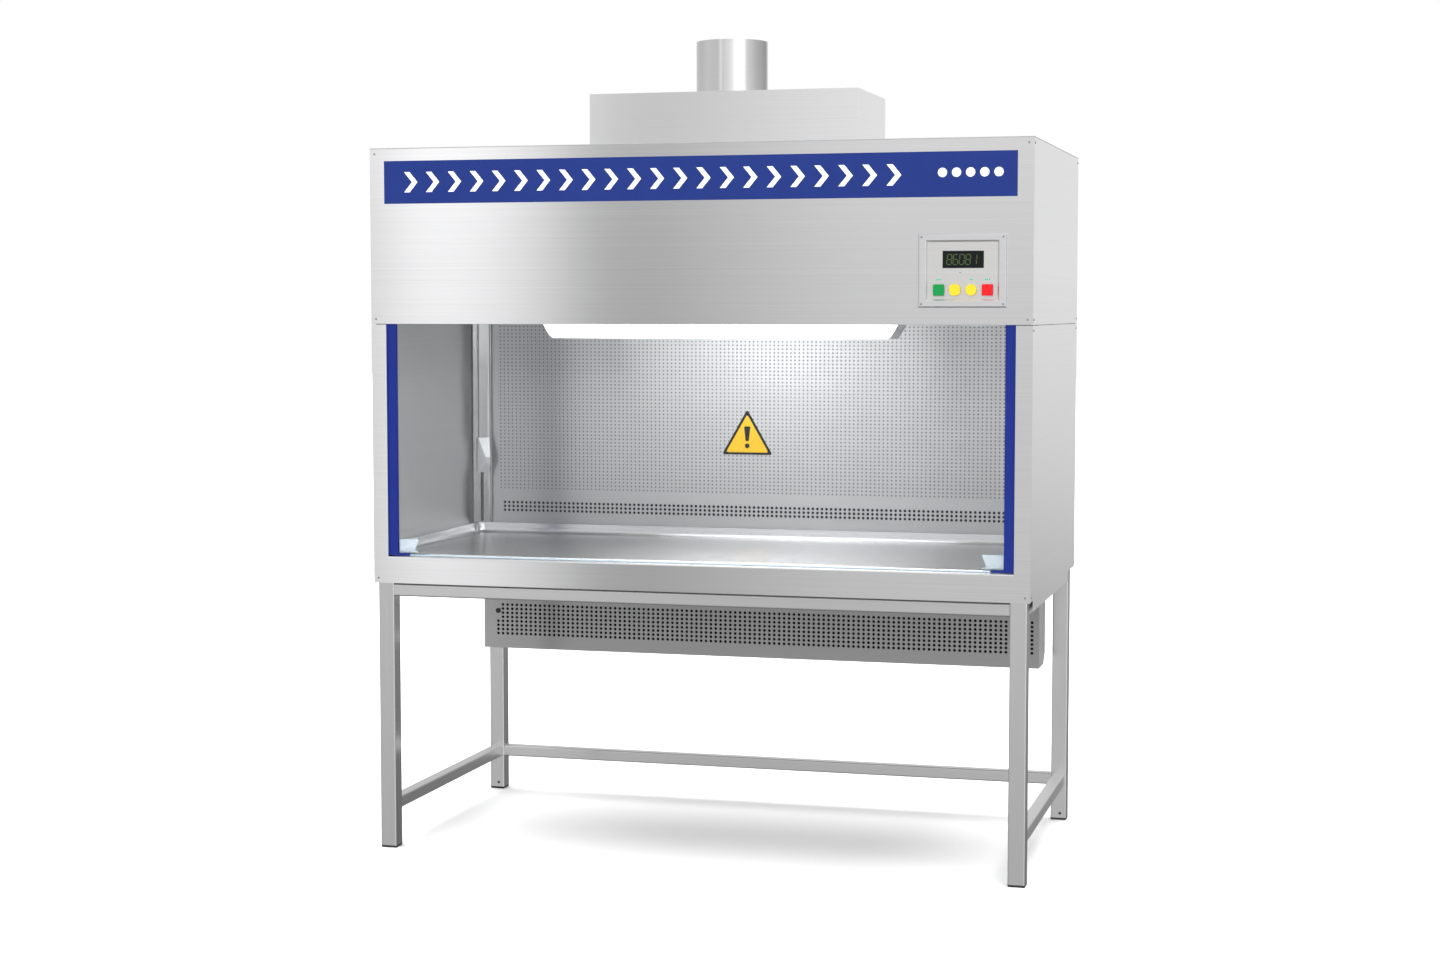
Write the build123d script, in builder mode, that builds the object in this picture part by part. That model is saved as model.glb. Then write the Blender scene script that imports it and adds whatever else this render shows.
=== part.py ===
"""Ventilated safety cabinet on a square-tube stand: every physical piece is its own solid.

Millimetres. +X is the user's right, +Y runs from the front to the back, +Z is up.
The origin is on the floor, at the middle of the whole object's footprint.
"""
import os
from math import sqrt

from build123d import *

os.makedirs("parts", exist_ok=True)

# ------------------------------------------------------------------ driving dimensions
CASE_WIDTH = 1600
CASE_DEPTH = 815
CASE_BOTTOM_Z = 654
LIP_Z = 720  # top of the front apron, the sill of the opening
SEAM_Z = 1282  # underside of the header, where the upper case meets the lower case
CASE_TOP_Z = 1703
JAMB_WIDTH = 38
SKIN = 2  # outer sheet of the case
FRONT_SKIN = 3  # front frame and header
SEAM_GAP = 1.2

BUTTON_PROUD = 8  # buttons stand this far out of the front plane
SCREW_PROUD = 1  # screw heads stand this far out of the panels

HALF_WIDTH = CASE_WIDTH / 2
FRONT_Y = -(CASE_DEPTH + SCREW_PROUD - BUTTON_PROUD) / 2
BACK_Y = FRONT_Y + CASE_DEPTH
FRONT_BACK_FACE_Y = FRONT_Y + FRONT_SKIN
ROOF_Z = CASE_TOP_Z - SKIN
INSIDE_X = HALF_WIDTH - SKIN

# stand
LEG_SIZE = 40
LEG_CORNER = 3
TUBE_WALL = 2
RAIL_SIZE = 30
RAIL_CORNER = 4
SIDE_INSET = 8
FRONT_INSET = 8
REAR_INSET = 14
CAP_HEIGHT = 5
CAP_PLUG = 20
RAIL_GAP = 3  # shadow gap between the top rails and the case
STRETCHER_Z = 105
LEG_X = HALF_WIDTH - SIDE_INSET - LEG_SIZE / 2
FRONT_LEG_Y = FRONT_Y + FRONT_INSET + LEG_SIZE / 2
REAR_LEG_Y = BACK_Y - REAR_INSET - LEG_SIZE / 2
TOP_RAIL_Z = CASE_BOTTOM_Z - RAIL_GAP - RAIL_SIZE / 2

# chamber
CHAMBER_HALF = 760
WALL = 2
WALL_FRONT_Y = FRONT_Y + 22
BAFFLE_Y = FRONT_Y + 600
BAFFLE_SHEET = 1.5
WALL_END_Y = FRONT_Y + 640
CHAMBER_BASE_Z = 690
CEILING_Z = 1330
SCREEN_BASE_Z = 826
TRAY_Z = 726
TRAY_RIM_Z = 752
TRAY_SHEET = 2
TRAY_COVE = 12

# sash
SASH_BASE_Z = LIP_Z + 2
SASH_TOP_Z = 1302
PANE = 5
SEAL_DEPTH = 10
SEAL_FRONT_Y = FRONT_BACK_FACE_Y + 1
PANE_FRONT_Y = SEAL_FRONT_Y + (SEAL_DEPTH - PANE) / 2
SEAL_INNER_X = 738
SEAL_OUTER_X = 786
SEAL_WEB = 3
PULLEY_RADIUS = 30  # to the middle of the cable
CABLE_RADIUS = 0.75
CABLE_X = 783
SHAFT_RADIUS = 8
SHAFT_CLEARANCE = 0.05
SHAFT_Y = FRONT_Y + 48
SHAFT_Z = 1660

# services
PLENUM_HALF = 338
PLENUM_FRONT_Y = FRONT_Y + 285
PLENUM_BACK_Y = FRONT_Y + 610
PLENUM_TOP_Z = 1846
DUCT_Y = FRONT_Y + 382
DUCT_RADIUS = 88
DUCT_WALL = 1.5
DUCT_TOP_Z = 1972
INTAKE_HALF = 741
INTAKE_FRONT_Y = FRONT_Y + 590
INTAKE_BACK_Y = FRONT_Y + 705
INTAKE_BASE_Z = 417

SIDES = (("left", -1), ("right", 1))
FROM_BASE = (Align.CENTER, Align.CENTER, Align.MIN)
FROM_FRONT = (Align.CENTER, Align.MIN, Align.MIN)


def square_tube(size, corner):
    """Section of a square tube, drawn in the sketch that is open."""
    RectangleRounded(size, size, corner)
    RectangleRounded(size - 2 * TUBE_WALL, size - 2 * TUBE_WALL, corner - TUBE_WALL, mode=Mode.SUBTRACT)


# ------------------------------------------------------------------ stand
for end, leg_y in (("front", FRONT_LEG_Y), ("rear", REAR_LEG_Y)):
    for side, sign in SIDES:
        with BuildPart() as leg:
            with BuildSketch(Plane.XY.offset(CAP_HEIGHT)):
                with Locations((sign * LEG_X, leg_y)):
                    square_tube(LEG_SIZE, LEG_CORNER)
            extrude(amount=CASE_BOTTOM_Z - CAP_HEIGHT)
        leg.part.label = f"leg_{end}_{side}"
        export_step(leg.part, f"parts/leg_{end}_{side}.step")

PLUG_PLAY = 0.3
PLUG_SIZE = LEG_SIZE - 2 * (TUBE_WALL + PLUG_PLAY)
CAP_CHAMFER = 1
FOOT_PLACES = [(sign * LEG_X, leg_y) for _, sign in SIDES for leg_y in (FRONT_LEG_Y, REAR_LEG_Y)]
with BuildPart() as foot_caps:
    with BuildSketch():
        with Locations(*FOOT_PLACES):
            RectangleRounded(LEG_SIZE, LEG_SIZE, LEG_CORNER)
    extrude(amount=CAP_HEIGHT)
    chamfer(foot_caps.faces().filter_by(Axis.Z).group_by(Axis.Z)[0].edges(), CAP_CHAMFER)
    with BuildSketch(Plane.XY.offset(CAP_HEIGHT)):
        with Locations(*FOOT_PLACES):
            Rectangle(PLUG_SIZE, PLUG_SIZE)
    extrude(amount=CAP_PLUG)
foot_caps.part.label = "foot_caps"
export_step(foot_caps.part, "parts/foot_caps.step")

CROSS_HALF = LEG_X - LEG_SIZE / 2  # half of the clear width between the legs
SIDE_START_Y = FRONT_LEG_Y + LEG_SIZE / 2
SIDE_LENGTH = REAR_LEG_Y - LEG_SIZE / 2 - SIDE_START_Y

RAIL_SETBACK = 1  # the top rails' outer faces, behind those of the legs
FRONT_RAIL_Y = FRONT_Y + FRONT_INSET + RAIL_SETBACK + RAIL_SIZE / 2
REAR_RAIL_Y = BACK_Y - REAR_INSET - RAIL_SETBACK - RAIL_SIZE / 2
SIDE_RAIL_X = LEG_X + (LEG_SIZE - RAIL_SIZE) / 2
with BuildPart() as cross_rails:
    with BuildSketch(Plane.YZ):
        with Locations((FRONT_RAIL_Y, TOP_RAIL_Z), (REAR_RAIL_Y, TOP_RAIL_Z)):
            square_tube(RAIL_SIZE, RAIL_CORNER)
    extrude(amount=CROSS_HALF, both=True)
cross_rails.part.label = "top_rails_cross"
export_step(cross_rails.part, "parts/top_rails_cross.step")

with BuildPart() as side_rails:
    with BuildSketch(Plane.XZ.offset(-SIDE_START_Y)):
        with Locations(*[(sign * SIDE_RAIL_X, TOP_RAIL_Z) for _, sign in SIDES]):
            square_tube(RAIL_SIZE, RAIL_CORNER)
    extrude(amount=-SIDE_LENGTH)
side_rails.part.label = "top_rails_side"
export_step(side_rails.part, "parts/top_rails_side.step")

with BuildPart() as side_stretchers:
    with BuildSketch(Plane.XZ.offset(-SIDE_START_Y)):
        with Locations(*[(sign * LEG_X, STRETCHER_Z) for _, sign in SIDES]):
            square_tube(RAIL_SIZE, RAIL_CORNER)
    extrude(amount=-SIDE_LENGTH)
side_stretchers.part.label = "side_stretchers"
export_step(side_stretchers.part, "parts/side_stretchers.step")

with BuildPart() as rear_stretcher:
    with BuildSketch(Plane.YZ):
        with Locations((REAR_LEG_Y, STRETCHER_Z)):
            square_tube(RAIL_SIZE, RAIL_CORNER)
    extrude(amount=CROSS_HALF, both=True)
rear_stretcher.part.label = "rear_stretcher"
export_step(rear_stretcher.part, "parts/rear_stretcher.step")

# ------------------------------------------------------------------ lower case
LIP_DEPTH = 22
LIP_BEND = 5
JAMB_X = HALF_WIDTH - JAMB_WIDTH / 2
with BuildPart() as front_frame:
    with BuildSketch(Plane.YZ) as apron_section:
        with Locations((FRONT_Y, CASE_BOTTOM_Z)):
            Rectangle(FRONT_SKIN, LIP_Z - CASE_BOTTOM_Z, align=(Align.MIN, Align.MIN))
        with Locations((FRONT_Y, LIP_Z)):
            Rectangle(LIP_DEPTH, FRONT_SKIN, align=(Align.MIN, Align.MAX))
        fillet(apron_section.vertices().group_by(Axis.Y)[-1].sort_by(Axis.X)[0], LIP_BEND)
    extrude(amount=INSIDE_X, both=True)
    with Locations(*[(sign * JAMB_X, FRONT_Y, CASE_BOTTOM_Z) for _, sign in SIDES]):
        Box(JAMB_WIDTH, FRONT_SKIN, SEAM_Z - SEAM_GAP - CASE_BOTTOM_Z, align=FROM_FRONT)
front_frame.part.label = "front_frame"
export_step(front_frame.part, "parts/front_frame.step")

FLOOR_SLOT_WIDTH = 1380
FLOOR_SLOT_DEPTH = 80
FLOOR_SLOT_Y = (INTAKE_FRONT_Y + INTAKE_BACK_Y) / 2
with BuildPart() as floor_pan:
    with Locations((0, FRONT_BACK_FACE_Y, CASE_BOTTOM_Z)):
        Box(2 * INSIDE_X, CASE_DEPTH - FRONT_SKIN - SKIN, SKIN, align=FROM_FRONT)
    with Locations((0, FLOOR_SLOT_Y, CASE_BOTTOM_Z)):
        Box(FLOOR_SLOT_WIDTH, FLOOR_SLOT_DEPTH, SKIN, align=FROM_BASE, mode=Mode.SUBTRACT)
floor_pan.part.label = "floor_pan"
export_step(floor_pan.part, "parts/floor_pan.step")

SKIRT_Z = 630
SKIRT_START_Y = FRONT_Y + 52  # behind the front legs
SKIRT_END_Y = FRONT_Y + 672
REAR_BASE_Z = CASE_BOTTOM_Z + SKIN
JOINT_STRIP = 40
JOINT_STRIP_START = 110  # behind the front plane
JOINT_STRIP_END = 20  # short of the side panels
LOWER_TOP_Z = SEAM_Z - SEAM_GAP
JOINT_STRIP_Z = SEAM_Z - JOINT_STRIP / 2
STRIP_DEPTH = CASE_DEPTH - JOINT_STRIP_START - JOINT_STRIP_END / 2
for side, sign in SIDES:
    with BuildPart() as lower_side:
        with BuildSketch(Plane.YZ.offset(sign * HALF_WIDTH)):
            with BuildLine():
                Polyline(
                    (FRONT_BACK_FACE_Y, REAR_BASE_Z),
                    (SKIRT_START_Y, REAR_BASE_Z),
                    (SKIRT_START_Y, SKIRT_Z),
                    (SKIRT_END_Y, SKIRT_Z),
                    (SKIRT_END_Y, REAR_BASE_Z),
                    (BACK_Y, REAR_BASE_Z),
                    (BACK_Y, LOWER_TOP_Z),
                    (FRONT_BACK_FACE_Y, LOWER_TOP_Z),
                    close=True,
                )
            make_face()
        extrude(amount=-sign * SKIN)
        with Locations((sign * (INSIDE_X - SKIN / 2), FRONT_Y + JOINT_STRIP_START, JOINT_STRIP_Z)):
            Box(SKIN, STRIP_DEPTH, JOINT_STRIP, align=FROM_FRONT)
    lower_side.part.label = f"lower_panel_{side}"
    export_step(lower_side.part, f"parts/lower_panel_{side}.step")

with BuildPart() as lower_back:
    with Locations((0, BACK_Y - SKIN, REAR_BASE_Z)):
        Box(2 * INSIDE_X, SKIN, LOWER_TOP_Z - REAR_BASE_Z, align=FROM_FRONT)
    with Locations((0, BACK_Y - 2 * SKIN, JOINT_STRIP_Z)):
        Box(2 * (INSIDE_X - JOINT_STRIP_END), SKIN, JOINT_STRIP, align=FROM_FRONT)
lower_back.part.label = "lower_panel_back"
export_step(lower_back.part, "parts/lower_panel_back.step")

# ------------------------------------------------------------------ upper case
for side, sign in SIDES:
    with BuildPart() as upper_side:
        with Locations((sign * (INSIDE_X + SKIN / 2), FRONT_BACK_FACE_Y, SEAM_Z)):
            Box(SKIN, CASE_DEPTH - FRONT_SKIN, ROOF_Z - SEAM_Z, align=FROM_FRONT)
    upper_side.part.label = f"upper_panel_{side}"
    export_step(upper_side.part, f"parts/upper_panel_{side}.step")

with BuildPart() as upper_back:
    with Locations((0, BACK_Y - SKIN, SEAM_Z)):
        Box(2 * INSIDE_X, SKIN, ROOF_Z - SEAM_Z, align=FROM_FRONT)
upper_back.part.label = "upper_panel_back"
export_step(upper_back.part, "parts/upper_panel_back.step")

ROOF_HOLE_WIDTH = 560
ROOF_HOLE_DEPTH = 250
PLENUM_MID_Y = (PLENUM_FRONT_Y + PLENUM_BACK_Y) / 2
with BuildPart() as roof_panel:
    with Locations((0, FRONT_Y, ROOF_Z)):
        Box(CASE_WIDTH, CASE_DEPTH, SKIN, align=FROM_FRONT)
    with Locations((0, PLENUM_MID_Y, ROOF_Z)):
        Box(ROOF_HOLE_WIDTH, ROOF_HOLE_DEPTH, SKIN, align=FROM_BASE, mode=Mode.SUBTRACT)
roof_panel.part.label = "roof_panel"
export_step(roof_panel.part, "parts/roof_panel.step")

PANEL_X = 640.25
PANEL_Z = 1404.5
BEZEL_WIDTH = 202.5
BEZEL_HEIGHT = 167
RECESS_WIDTH = 160.2
RECESS_HEIGHT = 129.5
with BuildPart() as header_panel:
    with Locations((0, FRONT_Y, SEAM_Z)):
        Box(CASE_WIDTH, FRONT_SKIN, ROOF_Z - SEAM_Z, align=FROM_FRONT)
    with Locations((PANEL_X, FRONT_Y, PANEL_Z)):
        Box(
            RECESS_WIDTH,
            FRONT_SKIN,
            RECESS_HEIGHT,
            align=(Align.CENTER, Align.MIN, Align.CENTER),
            mode=Mode.SUBTRACT,
        )
header_panel.part.label = "header_panel"
export_step(header_panel.part, "parts/header_panel.step")

FASCIA_HALF = 763
FASCIA_BASE_Z = 1570
FASCIA_HEIGHT = 102
FASCIA_THICKNESS = 1.5
FASCIA_CORNER = 1.5
with BuildPart() as fascia_strip:
    with BuildSketch(Plane.XZ.offset(-FRONT_Y)):
        with Locations((0, FASCIA_BASE_Z + FASCIA_HEIGHT / 2)):
            RectangleRounded(2 * FASCIA_HALF, FASCIA_HEIGHT, FASCIA_CORNER)
    extrude(amount=FASCIA_THICKNESS)
fascia_strip.part.label = "fascia_strip"
export_step(fascia_strip.part, "parts/fascia_strip.step")

# ------------------------------------------------------------------ controls
BEZEL_PROUD = 7
BEZEL_OUTER_CHAMFER = 3
BEZEL_INNER_CHAMFER = 3.5
PLATE_FRONT = 3  # the recessed plate's face, in front of the front plane
PLATE_SHEET = 1.5
PLATE_REBATE = 4
PLATE_FIT = 0.3
with BuildPart() as control_bezel:
    with BuildSketch(Plane.XZ.offset(-FRONT_Y)):
        with Locations((PANEL_X, PANEL_Z)):
            Rectangle(BEZEL_WIDTH, BEZEL_HEIGHT)
            Rectangle(RECESS_WIDTH, RECESS_HEIGHT, mode=Mode.SUBTRACT)
    extrude(amount=BEZEL_PROUD)
    chamfer(control_bezel.faces().sort_by(Axis.Y)[0].outer_wire().edges(), BEZEL_OUTER_CHAMFER)
    chamfer(control_bezel.faces().sort_by(Axis.Y)[0].inner_wires()[0].edges(), BEZEL_INNER_CHAMFER)
    with BuildSketch(Plane.XZ.offset(-FRONT_Y)):
        with Locations((PANEL_X, PANEL_Z)):
            Rectangle(RECESS_WIDTH + 2 * PLATE_REBATE, RECESS_HEIGHT + 2 * PLATE_REBATE)
    extrude(amount=PLATE_FRONT, mode=Mode.SUBTRACT)
control_bezel.part.label = "control_bezel"
export_step(control_bezel.part, "parts/control_bezel.step")

DISPLAY_OFFSET = 1.5  # the display and buttons sit right of the bezel's middle
DISPLAY_X = PANEL_X + DISPLAY_OFFSET
DISPLAY_Z = 1429.5
DISPLAY_WIDTH = 94
DISPLAY_HEIGHT = 39
BUTTON_Z = 1361
BUTTON_PITCH = 37
BUTTON_SIZE = 25
BUTTON_TRAVEL = 1.5
BUTTON_PLAY = 0.3
BUTTON_ROUND = 1.2
# name and corner radius of each button, from left to right
BUTTONS = (("green", 2), ("yellow_left", 9), ("yellow_right", 12.4), ("red", 2))


def button_x(index):
    """Middle of a button, counted from the left."""
    return DISPLAY_X + (index - (len(BUTTONS) - 1) / 2) * BUTTON_PITCH


PLATE_BACK_Y = FRONT_Y - PLATE_FRONT + PLATE_SHEET
with BuildPart() as control_plate:
    with BuildSketch(Plane.XZ.offset(-PLATE_BACK_Y)):
        with Locations((PANEL_X, PANEL_Z)):
            Rectangle(
                RECESS_WIDTH + 2 * (PLATE_REBATE - PLATE_FIT),
                RECESS_HEIGHT + 2 * (PLATE_REBATE - PLATE_FIT),
            )
        with Locations((DISPLAY_X, DISPLAY_Z)):
            Rectangle(DISPLAY_WIDTH, DISPLAY_HEIGHT, mode=Mode.SUBTRACT)
        for index, (_, corner) in enumerate(BUTTONS):
            with Locations((button_x(index), BUTTON_Z)):
                hole = BUTTON_SIZE + 2 * BUTTON_PLAY
                RectangleRounded(hole, hole, corner + BUTTON_PLAY, mode=Mode.SUBTRACT)
    extrude(amount=PLATE_SHEET)
control_plate.part.label = "control_plate"
export_step(control_plate.part, "parts/control_plate.step")

FLANGE_GAP = 0.1
FLANGE = 1
FLANGE_RIM = 2
for index, (colour, corner) in enumerate(BUTTONS):
    with BuildPart() as button:
        with BuildSketch(Plane.XZ.offset(-(PLATE_BACK_Y + FLANGE_GAP))):
            with Locations((button_x(index), BUTTON_Z)):
                RectangleRounded(BUTTON_SIZE, BUTTON_SIZE, corner)
        extrude(amount=BUTTON_PROUD - PLATE_FRONT + PLATE_SHEET + FLANGE_GAP)
        fillet(button.faces().sort_by(Axis.Y)[0].edges(), BUTTON_ROUND)
        with BuildSketch(Plane.XZ.offset(-(PLATE_BACK_Y + FLANGE_GAP + FLANGE))):
            with Locations((button_x(index), BUTTON_Z)):
                rim = BUTTON_SIZE + 2 * FLANGE_RIM
                Rectangle(rim, rim)
        extrude(amount=FLANGE)
    button.part.label = f"button_{colour}"
    export_step(button.part, f"parts/button_{colour}.step")

BOARD = 1.2
BOARD_FRONT_Y = FRONT_BACK_FACE_Y - BOARD
DISPLAY_SINK = 0.4
SWITCH_RADIUS = 4
SWITCH_GAP = 0.05  # between a pressed button and its switch
SWITCH_FRONT_Y = PLATE_BACK_Y + FLANGE_GAP + FLANGE + BUTTON_TRAVEL + SWITCH_GAP
BOARD_PLAY = 1
with BuildPart() as control_board:
    with Locations((PANEL_X, BOARD_FRONT_Y, PANEL_Z)):
        Box(
            RECESS_WIDTH - 2 * BOARD_PLAY,
            BOARD,
            RECESS_HEIGHT - 2 * BOARD_PLAY,
            align=(Align.CENTER, Align.MIN, Align.CENTER),
        )
    with BuildSketch(Plane.XZ.offset(-BOARD_FRONT_Y)):
        with Locations((DISPLAY_X, DISPLAY_Z)):
            Rectangle(DISPLAY_WIDTH - 2 * PLATE_FIT, DISPLAY_HEIGHT - 2 * PLATE_FIT)
    extrude(amount=BOARD_FRONT_Y - (FRONT_Y - PLATE_FRONT) - DISPLAY_SINK)
    with BuildSketch(Plane.XZ.offset(-BOARD_FRONT_Y)):
        with Locations(*[(button_x(index), BUTTON_Z) for index in range(len(BUTTONS))]):
            Circle(SWITCH_RADIUS)
    extrude(amount=BOARD_FRONT_Y - SWITCH_FRONT_Y)
control_board.part.label = "control_board"
export_step(control_board.part, "parts/control_board.step")

# ------------------------------------------------------------------ chamber
TONGUE_END_Y = FRONT_Y + 120
TONGUE_TOP_Z = 1695
FLANGE_TOP_Z = 1600
BUSH_RADIUS = 14
LEDGE = 15
LEDGE_START_Y = WALL_FRONT_Y + 12
LEDGE_LENGTH = 540
LEDGE_Z = TRAY_Z - TRAY_SHEET - WALL
for side, sign in SIDES:
    with BuildPart() as inner_wall:
        with BuildSketch(Plane.YZ.offset(sign * CHAMBER_HALF)):
            with BuildLine():
                Polyline(
                    (WALL_FRONT_Y, CHAMBER_BASE_Z),
                    (WALL_END_Y, CHAMBER_BASE_Z),
                    (WALL_END_Y, CEILING_Z + SKIN),
                    (TONGUE_END_Y, CEILING_Z + SKIN),
                    (TONGUE_END_Y, TONGUE_TOP_Z),
                    (WALL_FRONT_Y, TONGUE_TOP_Z),
                    close=True,
                )
            make_face()
            with Locations((SHAFT_Y, SHAFT_Z)):
                Circle(BUSH_RADIUS, mode=Mode.SUBTRACT)
        extrude(amount=sign * WALL)
        flange_x = (CHAMBER_HALF + WALL + INSIDE_X) / 2
        with Locations((sign * flange_x, WALL_FRONT_Y, CHAMBER_BASE_Z)):
            Box(INSIDE_X - CHAMBER_HALF - WALL, WALL, FLANGE_TOP_Z - CHAMBER_BASE_Z, align=FROM_FRONT)
        with Locations((sign * (CHAMBER_HALF - LEDGE / 2), LEDGE_START_Y, LEDGE_Z)):
            Box(LEDGE, LEDGE_LENGTH, WALL, align=FROM_FRONT)
    inner_wall.part.label = f"inner_wall_{side}"
    export_step(inner_wall.part, f"parts/inner_wall_{side}.step")

SLOT_ROWS = 3
SLOT_COLUMNS = 115
SLOT_PITCH_X = 12
SLOT_PITCH_Z = 10.4
SLOT_RADIUS = 3.6
SLOT_MID_Z = 796
BAFFLE_HALF = CHAMBER_HALF - 1
with BuildPart() as rear_baffle:
    with BuildSketch(Plane.XZ.offset(-BAFFLE_Y)):
        with Locations((0, (CHAMBER_BASE_Z + SCREEN_BASE_Z) / 2)):
            Rectangle(2 * BAFFLE_HALF, SCREEN_BASE_Z - CHAMBER_BASE_Z)
        with Locations((0, SLOT_MID_Z)):
            with GridLocations(SLOT_PITCH_X, SLOT_PITCH_Z, SLOT_COLUMNS, SLOT_ROWS):
                Circle(SLOT_RADIUS, mode=Mode.SUBTRACT)
    extrude(amount=-BAFFLE_SHEET)
rear_baffle.part.label = "rear_baffle"
export_step(rear_baffle.part, "parts/rear_baffle.step")

with BuildPart() as perforated_screen:
    with Locations((0, BAFFLE_Y, SCREEN_BASE_Z)):
        Box(2 * BAFFLE_HALF, BAFFLE_SHEET, CEILING_Z - SCREEN_BASE_Z, align=FROM_FRONT)
perforated_screen.part.label = "perforated_screen"
export_step(perforated_screen.part, "parts/perforated_screen.step")

FILTER_HALF = 560
FILTER_FRONT_Y = FRONT_Y + 60
FILTER_DEPTH = 500
FILTER_RIM = 20
FILTER_SINK = 12  # depth from the frame's edge to the pleats
with BuildPart() as chamber_ceiling:
    with Locations((0, WALL_FRONT_Y, CEILING_Z)):
        Box(2 * CHAMBER_HALF, WALL_END_Y - WALL_FRONT_Y, SKIN, align=FROM_FRONT)
    with Locations((0, FILTER_FRONT_Y + FILTER_RIM, CEILING_Z)):
        Box(
            2 * (FILTER_HALF - FILTER_RIM),
            FILTER_DEPTH - 2 * FILTER_RIM,
            SKIN,
            align=FROM_FRONT,
            mode=Mode.SUBTRACT,
        )
chamber_ceiling.part.label = "chamber_ceiling"
export_step(chamber_ceiling.part, "parts/chamber_ceiling.step")

TRAY_HALF = CHAMBER_HALF - 2
TRAY_FRONT_Y = WALL_FRONT_Y + 1
TRAY_REAR_GAP = 3
TRAY_DEPTH = BAFFLE_Y - TRAY_REAR_GAP - TRAY_FRONT_Y
HOLLOW_REACH = 50  # how far the hollow runs out past the tray's open front
HOLLOW_HEIGHT = 60
NOSE_DEPTH = 10
NOSE_ROUND = 5
NOSE_GAP = 0.5  # above the front frame's lip
with BuildPart() as tray_hollow:
    with Locations((0, TRAY_FRONT_Y - HOLLOW_REACH, TRAY_Z)):
        Box(
            2 * (TRAY_HALF - TRAY_SHEET),
            TRAY_DEPTH + HOLLOW_REACH - TRAY_SHEET,
            HOLLOW_HEIGHT,
            align=FROM_FRONT,
        )
    fillet(tray_hollow.edges().filter_by(Axis.Z).group_by(Axis.Y)[-1], 2 * TRAY_COVE)
    tray_floor_edges = tray_hollow.faces().sort_by(Axis.Z)[0].edges().sort_by(Axis.Y)[1:]
    fillet(tray_floor_edges, TRAY_COVE)

with BuildPart() as work_tray:
    with Locations((0, TRAY_FRONT_Y + NOSE_DEPTH, TRAY_Z - TRAY_SHEET)):
        Box(
            2 * TRAY_HALF,
            TRAY_DEPTH - NOSE_DEPTH,
            TRAY_RIM_Z - TRAY_Z + TRAY_SHEET,
            align=FROM_FRONT,
        )
    add(tray_hollow.part, mode=Mode.SUBTRACT)
    with BuildSketch(Plane.YZ) as nose_section:
        with Locations((TRAY_FRONT_Y, TRAY_Z)):
            Rectangle(NOSE_DEPTH, TRAY_Z - LIP_Z - NOSE_GAP, align=(Align.MIN, Align.MAX))
        fillet(nose_section.vertices().group_by(Axis.Y)[-1].sort_by(Axis.X)[0], NOSE_ROUND)
    extrude(amount=TRAY_HALF, both=True)
work_tray.part.label = "work_tray"
export_step(work_tray.part, "parts/work_tray.step")

# the corner trunking crosses the rear left corner at 45 degrees
TRUNK_WIDTH = 53
TRUNK_SHEET = 2
TRUNK_RIB = 4
TRUNK_BASE_Z = TRAY_RIM_Z + 1
SOCKET_BASE_Z = 887
SOCKET_HEIGHT = 92
SOCKET_WIDTH = 31
TRUNK_SETBACK = 20.5  # its middle, from the left wall and from the rear wall
TRUNK_MID = (-CHAMBER_HALF + TRUNK_SETBACK, BAFFLE_Y - TRUNK_SETBACK)
trunk_plane = Plane(
    origin=(TRUNK_MID[0], TRUNK_MID[1], TRUNK_BASE_Z),
    x_dir=(1, 1, 0),
    z_dir=(1, -1, 0),
)
TRUNK_HEIGHT = CEILING_Z - TRUNK_BASE_Z
CABLE_SLOT = 8
CABLE_SLOT_BASE = 4
CABLE_SLOT_HEIGHT = SOCKET_BASE_Z - TRUNK_BASE_Z
COVER_BASE = SOCKET_BASE_Z + SOCKET_HEIGHT - TRUNK_BASE_Z
COVER_WIDTH = 22
COVER_PROUD = 7
with BuildPart() as corner_trunking:
    with BuildSketch(trunk_plane):
        with Locations((0, TRUNK_HEIGHT / 2)):
            Rectangle(TRUNK_WIDTH, TRUNK_HEIGHT)
        with Locations((0, CABLE_SLOT_BASE)):
            Rectangle(
                CABLE_SLOT,
                CABLE_SLOT_HEIGHT,
                align=(Align.CENTER, Align.MIN),
                mode=Mode.SUBTRACT,
            )
    extrude(amount=-TRUNK_SHEET)
    with BuildSketch(trunk_plane):
        with Locations((0, TRUNK_HEIGHT / 2)):
            with GridLocations(TRUNK_WIDTH - TRUNK_RIB, 0, 2, 1):
                Rectangle(TRUNK_RIB, TRUNK_HEIGHT)
    extrude(amount=TRUNK_RIB)
    with BuildSketch(trunk_plane):
        with Locations((0, COVER_BASE)):
            Rectangle(COVER_WIDTH, TRUNK_HEIGHT - COVER_BASE, align=(Align.CENTER, Align.MIN))
    extrude(amount=COVER_PROUD)
corner_trunking.part.label = "corner_trunking"
export_step(corner_trunking.part, "parts/corner_trunking.step")

SOCKET_DEPTH = 10
FLAP_DEPTH = 16
FLAP_GAP = 0.4
socket_plane = Plane(
    origin=(TRUNK_MID[0], TRUNK_MID[1], SOCKET_BASE_Z),
    x_dir=(1, 1, 0),
    z_dir=(1, -1, 0),
)
with BuildPart() as socket_box:
    with BuildSketch(socket_plane):
        Rectangle(SOCKET_WIDTH, SOCKET_HEIGHT, align=(Align.CENTER, Align.MIN))
    extrude(amount=SOCKET_DEPTH)
socket_box.part.label = "socket_box"
export_step(socket_box.part, "parts/socket_box.step")

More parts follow.
